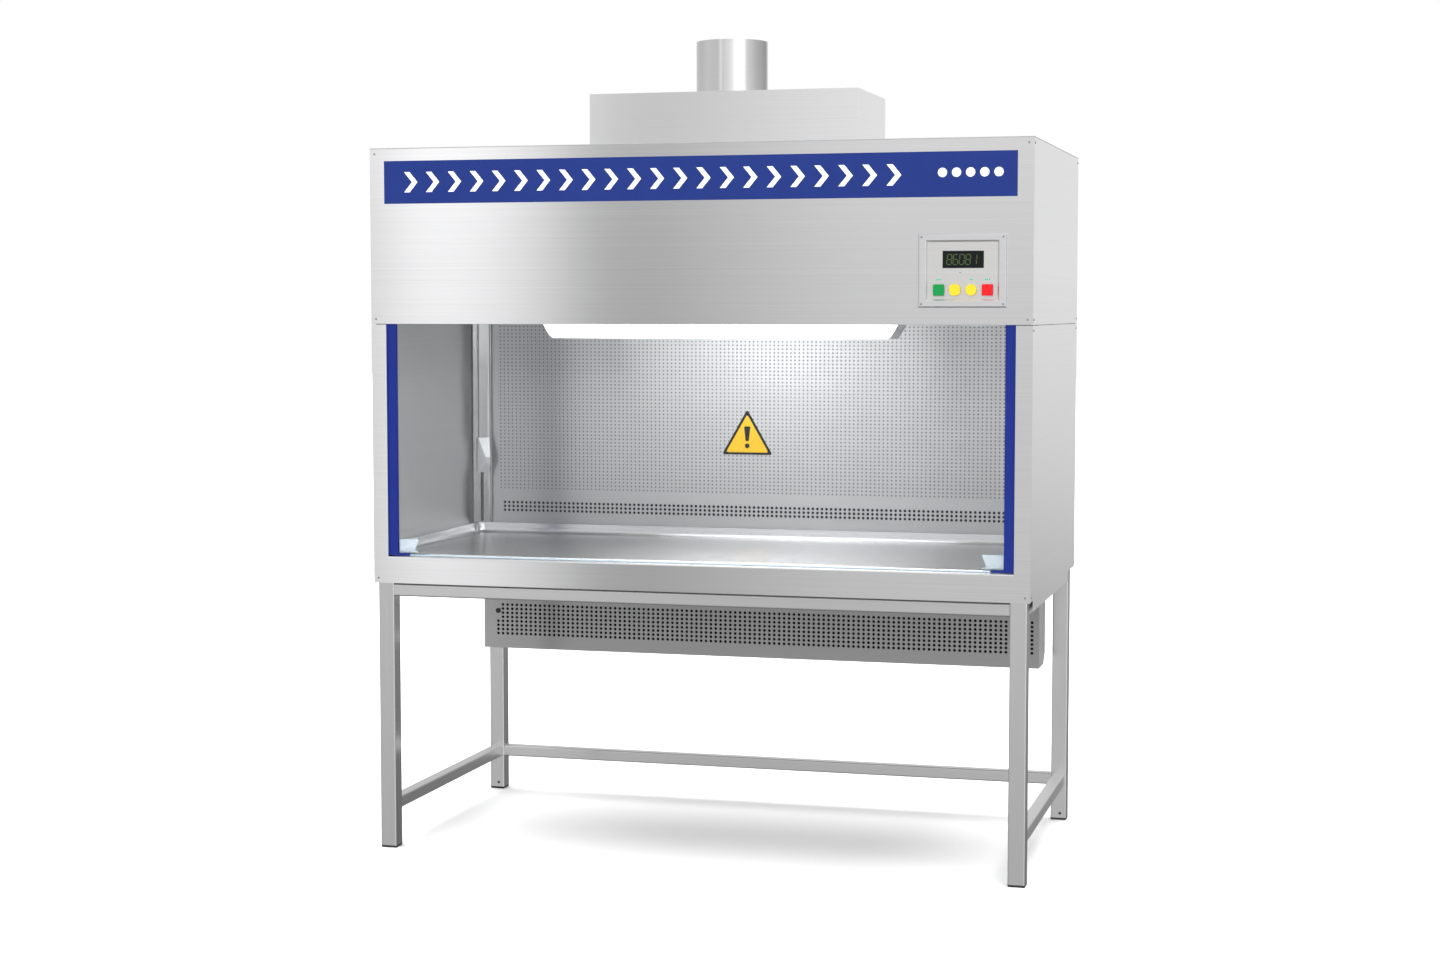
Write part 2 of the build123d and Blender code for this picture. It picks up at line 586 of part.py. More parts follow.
# the cover's small raised face, as shares of its foot
FLAP_FACE_X = 0.15
FLAP_FACE_Z = 0.25
FLAP_FACE_WIDTH = 0.45
FLAP_FACE_HEIGHT = 0.2
flap_plane = socket_plane.offset(SOCKET_DEPTH + FLAP_GAP)
with BuildPart() as socket_flap:
    with BuildSketch(flap_plane):
        Rectangle(SOCKET_WIDTH, SOCKET_HEIGHT, align=(Align.CENTER, Align.MIN))
    with BuildSketch(flap_plane.offset(FLAP_DEPTH)):
        with Locations((SOCKET_WIDTH * FLAP_FACE_X, SOCKET_HEIGHT * FLAP_FACE_Z)):
            Rectangle(
                SOCKET_WIDTH * FLAP_FACE_WIDTH,
                SOCKET_HEIGHT * FLAP_FACE_HEIGHT,
                align=(Align.CENTER, Align.MIN),
            )
    loft(ruled=True)
socket_flap.part.label = "socket_flap"
export_step(socket_flap.part, "parts/socket_flap.step")

# ------------------------------------------------------------------ lamp
LAMP_HALF = 425
LAMP_SPLAY = 26
LAMP_BASE_Z = 1247
LAMP_TOP_Z = 1290
LAMP_WIDTH = 110
LAMP_Y = FRONT_Y + 295
LAMP_SHELL = 2.5
LAMP_ROUND = 12
TUBE_RADIUS = 8
TUBE_PITCH = 50
TUBE_Z = LAMP_TOP_Z - 2 * TUBE_RADIUS
with BuildPart() as lamp_diffuser:
    with BuildSketch(Plane.XZ.offset(-(LAMP_Y + LAMP_WIDTH / 2))):
        with BuildLine():
            Polyline(
                (-LAMP_HALF, LAMP_BASE_Z),
                (LAMP_HALF, LAMP_BASE_Z),
                (LAMP_HALF + LAMP_SPLAY, LAMP_TOP_Z),
                (-LAMP_HALF - LAMP_SPLAY, LAMP_TOP_Z),
                close=True,
            )
        make_face()
    extrude(amount=LAMP_WIDTH)
    fillet(lamp_diffuser.edges().group_by(Axis.Z)[0], LAMP_ROUND)
    offset(amount=-LAMP_SHELL, openings=lamp_diffuser.faces().sort_by(Axis.Z)[-1])
lamp_diffuser.part.label = "lamp_diffuser"
export_step(lamp_diffuser.part, "parts/lamp_diffuser.step")

LAMP_HOUSING_HALF = 480
LAMP_HOUSING_RIM = 8  # wider than the diffuser, on each side
LAMP_HOUSING_CHAMFER = 2
LAMP_HOUSING_SHEET = 1.5
with BuildPart() as lamp_housing:
    with Locations((0, LAMP_Y, LAMP_TOP_Z)):
        Box(
            2 * LAMP_HOUSING_HALF,
            LAMP_WIDTH + 2 * LAMP_HOUSING_RIM,
            CEILING_Z - LAMP_TOP_Z,
            align=FROM_BASE,
        )
    fillet(lamp_housing.edges().filter_by(Axis.Z), LAMP_HOUSING_RIM)
    chamfer(lamp_housing.faces().sort_by(Axis.Z)[0].edges(), LAMP_HOUSING_CHAMFER)
    offset(amount=-LAMP_HOUSING_SHEET, openings=lamp_housing.faces().sort_by(Axis.Z)[-1])
lamp_housing.part.label = "lamp_housing"
export_step(lamp_housing.part, "parts/lamp_housing.step")

with BuildPart() as lamp_tubes:
    with BuildSketch(Plane.YZ):
        with Locations((LAMP_Y, TUBE_Z)):
            with GridLocations(TUBE_PITCH, 0, 2, 1):
                Circle(TUBE_RADIUS)
    extrude(amount=LAMP_HALF, both=True)
lamp_tubes.part.label = "lamp_tubes"
export_step(lamp_tubes.part, "parts/lamp_tubes.step")

# ------------------------------------------------------------------ sash and its counterbalance
with BuildPart() as sash_glass:
    with Locations((0, PANE_FRONT_Y, SASH_BASE_Z)):
        Box(2 * (SEAL_OUTER_X - SEAL_WEB), PANE, SASH_TOP_Z - SASH_BASE_Z, align=FROM_FRONT)
sash_glass.part.label = "sash_glass"
export_step(sash_glass.part, "parts/sash_glass.step")

SEAL_FOOT = 30
SEAL_FOOT_HEIGHT = 5
LUG_WIDTH = 7
LUG_DEPTH = 6
LUG_HEIGHT = 20
LUG_Z = 1235
LUG_X = SEAL_OUTER_X - LUG_WIDTH / 2
SEAL_BACK_Y = SEAL_FRONT_Y + SEAL_DEPTH
SEAL_MID_X = (SEAL_INNER_X + SEAL_OUTER_X) / 2
SEAL_FOOT_X = SEAL_INNER_X - SEAL_FOOT / 2
with BuildPart() as sash_edge_seals:
    with Locations(*[(sign * SEAL_MID_X, SEAL_FRONT_Y, SASH_BASE_Z) for _, sign in SIDES]):
        Box(SEAL_OUTER_X - SEAL_INNER_X, SEAL_DEPTH, SASH_TOP_Z - SASH_BASE_Z, align=FROM_FRONT)
    with Locations(*[(sign * SEAL_FOOT_X, SEAL_FRONT_Y, SASH_BASE_Z) for _, sign in SIDES]):
        Box(SEAL_FOOT, SEAL_DEPTH, SEAL_FOOT_HEIGHT, align=FROM_FRONT)
    with Locations((0, PANE_FRONT_Y, SASH_BASE_Z)):
        Box(
            2 * (SEAL_OUTER_X - SEAL_WEB),
            PANE,
            SASH_TOP_Z - SASH_BASE_Z,
            align=FROM_FRONT,
            mode=Mode.SUBTRACT,
        )
    with Locations(*[(sign * LUG_X, SEAL_BACK_Y, LUG_Z) for _, sign in SIDES]):
        Box(LUG_WIDTH, LUG_DEPTH, LUG_HEIGHT, align=(Align.CENTER, Align.MIN, Align.CENTER))
sash_edge_seals.part.label = "sash_edge_seals"
export_step(sash_edge_seals.part, "parts/sash_edge_seals.step")

# clear corner wedges, by which the sash is lifted
TAB_WIDTH = 50
TAB_DEPTH = 46
TAB_HEIGHT = 32
PANE_BACK_Y = PANE_FRONT_Y + PANE
TAB_BASE_Z = TRAY_Z + 3
TAB_SHEET = 3
TAB_SPLAY = 12  # the upright widens by this much towards its top
TAB_X = SEAL_INNER_X - 1
with BuildPart() as sash_pull_tabs:
    for _, sign in SIDES:
        with BuildSketch(Plane.XY.offset(TAB_BASE_Z)):
            with BuildLine():
                Polyline(
                    (sign * TAB_X, PANE_BACK_Y),
                    (sign * (TAB_X - TAB_WIDTH), PANE_BACK_Y),
                    (sign * TAB_X, PANE_BACK_Y + TAB_DEPTH),
                    close=True,
                )
            make_face()
        extrude(amount=TAB_SHEET)
        with BuildSketch(Plane.XZ.offset(-PANE_BACK_Y)):
            with BuildLine():
                Polyline(
                    (sign * TAB_X, TAB_BASE_Z),
                    (sign * (TAB_X - TAB_WIDTH + TAB_SPLAY), TAB_BASE_Z),
                    (sign * (TAB_X - TAB_WIDTH), TAB_BASE_Z + TAB_HEIGHT),
                    (sign * TAB_X, TAB_BASE_Z + TAB_HEIGHT),
                    close=True,
                )
            make_face()
        extrude(amount=-TAB_SHEET)
sash_pull_tabs.part.label = "sash_pull_tabs"
export_step(sash_pull_tabs.part, "parts/sash_pull_tabs.step")

GUIDE_X = 769.5
GUIDE_WIDTH = 12
GUIDE_GAP = 1
GUIDE_DEPTH = WALL_FRONT_Y - SEAL_BACK_Y - GUIDE_GAP
with BuildPart() as sash_guides:
    with Locations(*[(sign * GUIDE_X, SEAL_BACK_Y + GUIDE_GAP, SASH_BASE_Z) for _, sign in SIDES]):
        Box(GUIDE_WIDTH, GUIDE_DEPTH, FLANGE_TOP_Z - SASH_BASE_Z, align=FROM_FRONT)
sash_guides.part.label = "sash_guides"
export_step(sash_guides.part, "parts/sash_guides.step")

PULLEY_WIDTH = 10
PULLEY_RIM = PULLEY_RADIUS + 2
CABLE_GAP = 0.05
GROOVE_RADIUS = PULLEY_RADIUS - CABLE_RADIUS - CABLE_GAP
GROOVE_WIDTH = 3
HUB_HOLES = 5
HUB_HOLE_RADIUS = 5
HUB_HOLE_CIRCLE = 18
with BuildPart() as sync_shaft:
    with BuildSketch(Plane.YZ):
        with Locations((SHAFT_Y, SHAFT_Z)):
            Circle(SHAFT_RADIUS)
    extrude(amount=CABLE_X + PULLEY_WIDTH / 2, both=True)
    for _, sign in SIDES:
        with BuildSketch(Plane.YZ.offset(sign * (CABLE_X - PULLEY_WIDTH / 2))):
            with Locations((SHAFT_Y, SHAFT_Z)):
                Circle(PULLEY_RIM)
        extrude(amount=sign * PULLEY_WIDTH)
        with BuildSketch(Plane.YZ.offset(sign * (CABLE_X - GROOVE_WIDTH / 2))):
            with Locations((SHAFT_Y, SHAFT_Z)):
                Circle(PULLEY_RIM + 1)
                Circle(GROOVE_RADIUS, mode=Mode.SUBTRACT)
        extrude(amount=sign * GROOVE_WIDTH, mode=Mode.SUBTRACT)
        with BuildSketch(Plane.YZ.offset(sign * (CABLE_X - PULLEY_WIDTH / 2))):
            with Locations((SHAFT_Y, SHAFT_Z)):
                with PolarLocations(HUB_HOLE_CIRCLE, HUB_HOLES):
                    Circle(HUB_HOLE_RADIUS)
        extrude(amount=sign * PULLEY_WIDTH, mode=Mode.SUBTRACT)
sync_shaft.part.label = "sync_shaft"
export_step(sync_shaft.part, "parts/sync_shaft.step")

BUSH_FLANGE = 20
BUSH_FLANGE_THICKNESS = 3
BUSH_LENGTH = 8
with BuildPart() as shaft_bearings:
    for _, sign in SIDES:
        with BuildSketch(Plane.YZ.offset(sign * (CHAMBER_HALF + WALL))):
            with Locations((SHAFT_Y, SHAFT_Z)):
                Circle(BUSH_RADIUS)
        extrude(amount=-sign * (WALL + BUSH_LENGTH))
        with BuildSketch(Plane.YZ.offset(sign * CHAMBER_HALF)):
            with Locations((SHAFT_Y, SHAFT_Z)):
                Circle(BUSH_FLANGE)
        extrude(amount=-sign * BUSH_FLANGE_THICKNESS)
    with BuildSketch(Plane.YZ):
        with Locations((SHAFT_Y, SHAFT_Z)):
            Circle(SHAFT_RADIUS + SHAFT_CLEARANCE)
    extrude(amount=HALF_WIDTH, both=True, mode=Mode.SUBTRACT)
shaft_bearings.part.label = "shaft_bearings"
export_step(shaft_bearings.part, "parts/shaft_bearings.step")

WEIGHT_WIDTH = 22
WEIGHT_DEPTH = 70
WEIGHT_HEIGHT = 470
WEIGHT_CHAMFER = 2
WEIGHT_TOP_Z = 1612
WEIGHT_Y = SHAFT_Y + PULLEY_RADIUS
WEIGHT_X = 782
WEIGHT_BASE_Z = WEIGHT_TOP_Z - WEIGHT_HEIGHT
with BuildPart() as counterweights:
    with Locations(*[(sign * WEIGHT_X, WEIGHT_Y, WEIGHT_BASE_Z) for _, sign in SIDES]):
        Box(WEIGHT_WIDTH, WEIGHT_DEPTH, WEIGHT_HEIGHT, align=FROM_BASE)
    chamfer(counterweights.edges().filter_by(Axis.Z), WEIGHT_CHAMFER)
counterweights.part.label = "counterweights"
export_step(counterweights.part, "parts/counterweights.step")

CABLE_FRONT_Y = SHAFT_Y - PULLEY_RADIUS
with BuildPart() as sash_cables:
    for _, sign in SIDES:
        with BuildSketch(Plane.XY.offset(SHAFT_Z)):
            with Locations((sign * CABLE_X, CABLE_FRONT_Y)):
                Circle(CABLE_RADIUS)
        extrude(amount=-(SHAFT_Z - LUG_Z - LUG_HEIGHT / 2))
        with BuildSketch(Plane.XY.offset(SHAFT_Z)):
            with Locations((sign * CABLE_X, WEIGHT_Y)):
                Circle(CABLE_RADIUS)
        extrude(amount=-(SHAFT_Z - WEIGHT_TOP_Z))
        with BuildSketch(Plane.XY.offset(SHAFT_Z)):
            with Locations((sign * CABLE_X, CABLE_FRONT_Y)):
                Circle(CABLE_RADIUS)
        revolve(axis=Axis((0, SHAFT_Y, SHAFT_Z), (1, 0, 0)), revolution_arc=-180)
sash_cables.part.label = "sash_cables"
export_step(sash_cables.part, "parts/sash_cables.step")

# ------------------------------------------------------------------ air system
SUPPLY_HEIGHT = 68
DECK_Z = CEILING_Z + SKIN + SUPPLY_HEIGHT
with BuildPart() as supply_filter:
    with Locations((0, FILTER_FRONT_Y, CEILING_Z + SKIN)):
        Box(2 * FILTER_HALF, FILTER_DEPTH, SUPPLY_HEIGHT, align=FROM_FRONT)
    for base_z in (CEILING_Z + SKIN, DECK_Z - FILTER_SINK):
        with Locations((0, FILTER_FRONT_Y + FILTER_RIM, base_z)):
            Box(
                2 * (FILTER_HALF - FILTER_RIM),
                FILTER_DEPTH - 2 * FILTER_RIM,
                FILTER_SINK,
                align=FROM_FRONT,
                mode=Mode.SUBTRACT,
            )
supply_filter.part.label = "supply_filter"
export_step(supply_filter.part, "parts/supply_filter.step")

SCROLL_BOTTOM = 140  # from the middle of the fan down to the deck
FAN_Y = FRONT_Y + 430
FAN_Z = DECK_Z + SKIN + SCROLL_BOTTOM
OUTLET_HALF = 60
INLET_RADIUS = 62
DECK_FRONT_Y = FRONT_Y + 130
DECK_DEPTH = 560
DECK_PLAY = 2
DECK_OUTLET_Y = DECK_FRONT_Y + 20
DECK_OUTLET_WIDTH = 160
DECK_OUTLET_DEPTH = 120
with BuildPart() as blower_deck:
    with Locations((0, DECK_FRONT_Y, DECK_Z)):
        Box(2 * (CHAMBER_HALF - DECK_PLAY), DECK_DEPTH, SKIN, align=FROM_FRONT)
    with Locations((0, DECK_OUTLET_Y, DECK_Z)):
        Box(DECK_OUTLET_WIDTH, DECK_OUTLET_DEPTH, SKIN, align=FROM_FRONT, mode=Mode.SUBTRACT)
blower_deck.part.label = "blower_deck"
export_step(blower_deck.part, "parts/blower_deck.step")

SCROLL_WALL = 2
SCROLL_LIP = 20  # the outlet's upper lip, below the middle of the fan
SCROLL_START = 100
SCROLL_TOP = 116
SCROLL_BACK = 130
OUTLET_REACH = 180
INNER_HALF = OUTLET_HALF - SCROLL_WALL

# the three spiral arcs: reach across, reach up or down, and the quarter they turn through
SCROLL_ARCS = (
    (SCROLL_START, SCROLL_TOP, -1, 1),
    (SCROLL_BACK, SCROLL_TOP, 1, 1),
    (SCROLL_BACK, SCROLL_BOTTOM, 1, -1),
)
with BuildPart() as blower_housing:
    for wall, half, how in ((0, OUTLET_HALF, Mode.ADD), (SCROLL_WALL, INNER_HALF, Mode.SUBTRACT)):
        lip_z = FAN_Z - SCROLL_LIP - wall
        base_z = FAN_Z - SCROLL_BOTTOM + wall
        start_y = FAN_Y - SCROLL_START + wall
        with BuildSketch(Plane.YZ.offset(-half)):
            with BuildLine():
                for across, high, turn_y, turn_z in SCROLL_ARCS:
                    reach_y = turn_y * (across - wall)
                    reach_z = turn_z * (high - wall)
                    side = (FAN_Y + reach_y, lip_z if turn_y < 0 else FAN_Z)
                    middle = (FAN_Y + reach_y * sqrt(0.5), FAN_Z + reach_z * sqrt(0.5))
                    ThreePointArc(side, middle, (FAN_Y, FAN_Z + reach_z))
                Polyline(
                    (FAN_Y, base_z),
                    (FAN_Y - OUTLET_REACH, base_z),
                    (FAN_Y - OUTLET_REACH, lip_z),
                    (start_y, lip_z),
                )
            make_face()
        extrude(amount=2 * half, mode=how)
    with BuildSketch(Plane.YZ):
        with Locations((FAN_Y, FAN_Z)):
            Circle(INLET_RADIUS)
    extrude(amount=2 * OUTLET_HALF, both=True, mode=Mode.SUBTRACT)
blower_housing.part.label = "blower_housing"
export_step(blower_housing.part, "parts/blower_housing.step")

MOTOR_GAP = 10
MOTOR_X = -OUTLET_HALF - MOTOR_GAP
MOTOR_LENGTH = 120
MOTOR_RADIUS = 55
MOTOR_ROUND = 6
MOTOR_BORE = 50
SADDLE_WIDTH = 80
SADDLE_DEPTH = 70
SADDLE_HEIGHT = SCROLL_BOTTOM - MOTOR_RADIUS + MOTOR_ROUND
with BuildPart() as blower_motor:
    with BuildSketch(Plane.YZ.offset(MOTOR_X)):
        with Locations((FAN_Y, FAN_Z)):
            Circle(MOTOR_RADIUS)
    extrude(amount=-MOTOR_LENGTH)
    fillet(blower_motor.edges().filter_by(GeomType.CIRCLE), MOTOR_ROUND)
    with BuildSketch(Plane.YZ.offset(MOTOR_X)):
        with Locations((FAN_Y, FAN_Z)):
            Circle(SHAFT_RADIUS + SHAFT_CLEARANCE)
    extrude(amount=-MOTOR_BORE, mode=Mode.SUBTRACT)
    with Locations((MOTOR_X - MOTOR_LENGTH / 2, FAN_Y, DECK_Z + SKIN)):
        Box(SADDLE_WIDTH, SADDLE_DEPTH, SADDLE_HEIGHT, align=FROM_BASE)
blower_motor.part.label = "blower_motor"
export_step(blower_motor.part, "parts/blower_motor.step")

BLADES = 12
BLADE_ANGLE = 30
BLADE_PLAY = 1
FAN_SHEET = 2
IMPELLER_RADIUS = 90
IMPELLER_HALF = 50
SHAFT_INSERT = 45  # length of the shaft inside the motor
with BuildPart() as blower_impeller:
    with BuildSketch(Plane.YZ.offset(MOTOR_X - SHAFT_INSERT)):
        with Locations((FAN_Y, FAN_Z)):
            Circle(SHAFT_RADIUS)
    extrude(amount=SHAFT_INSERT - MOTOR_X + IMPELLER_HALF)
    with BuildSketch(Plane.YZ):
        with Locations((FAN_Y, FAN_Z)):
            Circle(IMPELLER_RADIUS)
    extrude(amount=FAN_SHEET, both=True)
    with BuildSketch(Plane.YZ):
        with Locations((FAN_Y, FAN_Z)):
            with PolarLocations((IMPELLER_RADIUS + INLET_RADIUS) / 2, BLADES):
                Rectangle(
                    IMPELLER_RADIUS - INLET_RADIUS - BLADE_PLAY,
                    FAN_SHEET,
                    rotation=BLADE_ANGLE,
                )
    extrude(amount=IMPELLER_HALF, both=True)
    for sign in (-1, 1):
        with BuildSketch(Plane.YZ.offset(sign * IMPELLER_HALF)):
            with Locations((FAN_Y, FAN_Z)):
                Circle(IMPELLER_RADIUS)
                Circle(INLET_RADIUS, mode=Mode.SUBTRACT)
        extrude(amount=-sign * FAN_SHEET)
blower_impeller.part.label = "blower_impeller"
export_step(blower_impeller.part, "parts/blower_impeller.step")

EXHAUST_HALF = 290
EXHAUST_DEPTH = 274
EXHAUST_HEIGHT = 66
with BuildPart() as exhaust_filter:
    with Locations((0, PLENUM_MID_Y, CASE_TOP_Z)):
        Box(2 * EXHAUST_HALF, EXHAUST_DEPTH, EXHAUST_HEIGHT, align=FROM_BASE)
    for base_z in (CASE_TOP_Z, CASE_TOP_Z + EXHAUST_HEIGHT - FILTER_SINK):
        with Locations((0, PLENUM_MID_Y, base_z)):
            Box(
                2 * (EXHAUST_HALF - FILTER_RIM),
                EXHAUST_DEPTH - 2 * FILTER_RIM,
                FILTER_SINK,
                align=FROM_BASE,
                mode=Mode.SUBTRACT,
            )
exhaust_filter.part.label = "exhaust_filter"
export_step(exhaust_filter.part, "parts/exhaust_filter.step")

PLENUM_SKIN = 2
PLENUM_DEPTH = PLENUM_BACK_Y - PLENUM_FRONT_Y
with BuildPart() as exhaust_plenum:
    with Locations((0, PLENUM_MID_Y, CASE_TOP_Z)):
        Box(2 * PLENUM_HALF, PLENUM_DEPTH, PLENUM_TOP_Z - CASE_TOP_Z, align=FROM_BASE)
        Box(
            2 * (PLENUM_HALF - PLENUM_SKIN),
            PLENUM_DEPTH - 2 * PLENUM_SKIN,
            PLENUM_TOP_Z - CASE_TOP_Z - PLENUM_SKIN,
            align=FROM_BASE,
            mode=Mode.SUBTRACT,
        )
    with Locations((0, DUCT_Y, PLENUM_TOP_Z)):
        Cylinder(DUCT_RADIUS - DUCT_WALL, 4 * PLENUM_SKIN, mode=Mode.SUBTRACT)
exhaust_plenum.part.label = "exhaust_plenum"
export_step(exhaust_plenum.part, "parts/exhaust_plenum.step")

COLLAR_FLANGE = 10
COLLAR_FLANGE_THICKNESS = 2
with BuildPart() as duct_collar:
    with BuildSketch(Plane.XY.offset(PLENUM_TOP_Z)):
        with Locations((0, DUCT_Y)):
            Circle(DUCT_RADIUS)
            Circle(DUCT_RADIUS - DUCT_WALL, mode=Mode.SUBTRACT)
    extrude(amount=DUCT_TOP_Z - PLENUM_TOP_Z)
    with BuildSketch(Plane.XY.offset(PLENUM_TOP_Z)):
        with Locations((0, DUCT_Y)):
            Circle(DUCT_RADIUS + COLLAR_FLANGE)
            Circle(DUCT_RADIUS - DUCT_WALL, mode=Mode.SUBTRACT)
    extrude(amount=COLLAR_FLANGE_THICKNESS)
duct_collar.part.label = "duct_collar"
export_step(duct_collar.part, "parts/duct_collar.step")

INTAKE_SKIN = 2
INTAKE_CHAMFER = 26
GRILLE_SHEET = 2
with BuildPart() as intake_box:
    with BuildSketch(Plane.YZ):
        with BuildLine():
            Polyline(
                (INTAKE_FRONT_Y + GRILLE_SHEET, INTAKE_BASE_Z),
                (INTAKE_BACK_Y - INTAKE_CHAMFER, INTAKE_BASE_Z),
                (INTAKE_BACK_Y, INTAKE_BASE_Z + INTAKE_CHAMFER),
                (INTAKE_BACK_Y, CASE_BOTTOM_Z),
                (INTAKE_FRONT_Y + GRILLE_SHEET, CASE_BOTTOM_Z),
                close=True,
            )
        make_face()
    extrude(amount=INTAKE_HALF, both=True)
    intake_open = [intake_box.faces().sort_by(Axis.Y)[0], intake_box.faces().sort_by(Axis.Z)[-1]]
    offset(amount=-INTAKE_SKIN, openings=intake_open, kind=Kind.INTERSECTION)
intake_box.part.label = "intake_box"
export_step(intake_box.part, "parts/intake_box.step")

GRILLE_ROWS = 8
GRILLE_COLUMNS = 110
GRILLE_PITCH_X = 13.07
GRILLE_PITCH_Z = 11
GRILLE_X = 11
GRILLE_Z = 494.5
GRILLE_HOLE = 3.75
GROMMET_X = GRILLE_X - (GRILLE_COLUMNS - 1) / 2 * GRILLE_PITCH_X
GROMMET_Z = GRILLE_Z + 2 * GRILLE_PITCH_Z
GROMMET_RADIUS = 7
GROMMET_NECK = 5.4
GROMMET_HOLE = 5.5
GROMMET_PROUD = 2
GROMMET_ROUND = 1
with BuildPart() as intake_grille:
    with BuildSketch(Plane.XZ.offset(-INTAKE_FRONT_Y)):
        with Locations((0, INTAKE_BASE_Z)):
            Rectangle(2 * INTAKE_HALF, CASE_BOTTOM_Z - INTAKE_BASE_Z, align=(Align.CENTER, Align.MIN))
        with Locations((GRILLE_X + GRILLE_PITCH_X / 2, GRILLE_Z)):
            with GridLocations(GRILLE_PITCH_X, GRILLE_PITCH_Z, GRILLE_COLUMNS - 1, GRILLE_ROWS):
                Circle(GRILLE_HOLE, mode=Mode.SUBTRACT)
        with Locations((GROMMET_X, GRILLE_Z - 2 * GRILLE_PITCH_Z)):
            with GridLocations(0, GRILLE_PITCH_Z, 1, GRILLE_ROWS // 2):
                Circle(GRILLE_HOLE, mode=Mode.SUBTRACT)
        with Locations((GROMMET_X, GROMMET_Z)):
            Circle(GROMMET_HOLE, mode=Mode.SUBTRACT)
    extrude(amount=-GRILLE_SHEET)
intake_grille.part.label = "intake_grille"
export_step(intake_grille.part, "parts/intake_grille.step")

with BuildPart() as cable_grommet:
    with BuildSketch(Plane.XZ.offset(-INTAKE_FRONT_Y)):
        with Locations((GROMMET_X, GROMMET_Z)):
            Circle(GROMMET_RADIUS)
    extrude(amount=GROMMET_PROUD)
    fillet(cable_grommet.faces().sort_by(Axis.Y)[0].edges(), GROMMET_ROUND)
    with BuildSketch(Plane.XZ.offset(-INTAKE_FRONT_Y)):
        with Locations((GROMMET_X, GROMMET_Z)):
            Circle(GROMMET_NECK)
    extrude(amount=-GRILLE_SHEET - GROMMET_PROUD)
cable_grommet.part.label = "cable_grommet"
export_step(cable_grommet.part, "parts/cable_grommet.step")

PREFILTER_GAP = 4  # behind the grille
PREFILTER_PLAY = 1
PREFILTER_DEPTH = 20
PREFILTER_HEIGHT = 180
with BuildPart() as prefilter:
    with Locations((0, INTAKE_FRONT_Y + GRILLE_SHEET + PREFILTER_GAP, INTAKE_BASE_Z + INTAKE_SKIN)):
        Box(
            2 * (INTAKE_HALF - INTAKE_SKIN - PREFILTER_PLAY),
            PREFILTER_DEPTH,
            PREFILTER_HEIGHT,
            align=FROM_FRONT,
        )
prefilter.part.label = "prefilter"
export_step(prefilter.part, "parts/prefilter.step")

# ------------------------------------------------------------------ screws
SCREW_RADIUS = 2.5
SCREW_EDGE = 12
SCREW_PITCH = 260  # along the back
BACK_SCREWS = 7
BEZEL_SCREW_EDGE = 8
BASE_SCREW_Z = CASE_BOTTOM_Z + SCREW_EDGE
SCREW_ROWS = (BASE_SCREW_Z, SEAM_Z - SCREW_EDGE, SEAM_Z + SCREW_EDGE, ROOF_Z - SCREW_EDGE)
front_rows = (BASE_SCREW_Z, SEAM_Z + SCREW_EDGE, ROOF_Z - SCREW_EDGE)
front_screws = [(sign * (HALF_WIDTH - SCREW_EDGE), z) for _, sign in SIDES for z in front_rows]
bezel_screw_x = BEZEL_WIDTH / 2 - BEZEL_SCREW_EDGE
bezel_screw_z = BEZEL_HEIGHT / 2 - BEZEL_SCREW_EDGE
bezel_screws = [
    (PANEL_X + i * bezel_screw_x, PANEL_Z + j * bezel_screw_z)
    for i in (-1, 1)
    for j in (-1, 1)
]
side_columns = (FRONT_Y + SCREW_EDGE + FRONT_SKIN, BACK_Y - SCREW_EDGE)
side_screws = [(y, z) for y in side_columns for z in SCREW_ROWS]
first_screw = -(BACK_SCREWS - 1) / 2
back_screws = [((first_screw + i) * SCREW_PITCH, z) for i in range(BACK_SCREWS) for z in SCREW_ROWS]
with BuildPart() as panel_screws:
    with BuildSketch(Plane.XZ.offset(-FRONT_Y)):
        with Locations(*front_screws):
            Circle(SCREW_RADIUS)
    extrude(amount=SCREW_PROUD)
    with BuildSketch(Plane.XZ.offset(-(FRONT_Y - BEZEL_PROUD))):
        with Locations(*bezel_screws):
            Circle(SCREW_RADIUS)
    extrude(amount=SCREW_PROUD / 2)
    with BuildSketch(Plane.XZ.offset(-BACK_Y)):
        with Locations(*back_screws):
            Circle(SCREW_RADIUS)
    extrude(amount=-SCREW_PROUD)
    for _, sign in SIDES:
        with BuildSketch(Plane.YZ.offset(sign * HALF_WIDTH)):
            with Locations(*side_screws):
                Circle(SCREW_RADIUS)
        extrude(amount=sign * SCREW_PROUD)
panel_screws.part.label = "panel_screws"
export_step(panel_screws.part, "parts/panel_screws.step")
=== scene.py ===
"""Looks of a ventilated safety cabinet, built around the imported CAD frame.

Metres. +X is the user's right, +Y runs from the front to the back, +Z is up.
"""
import math

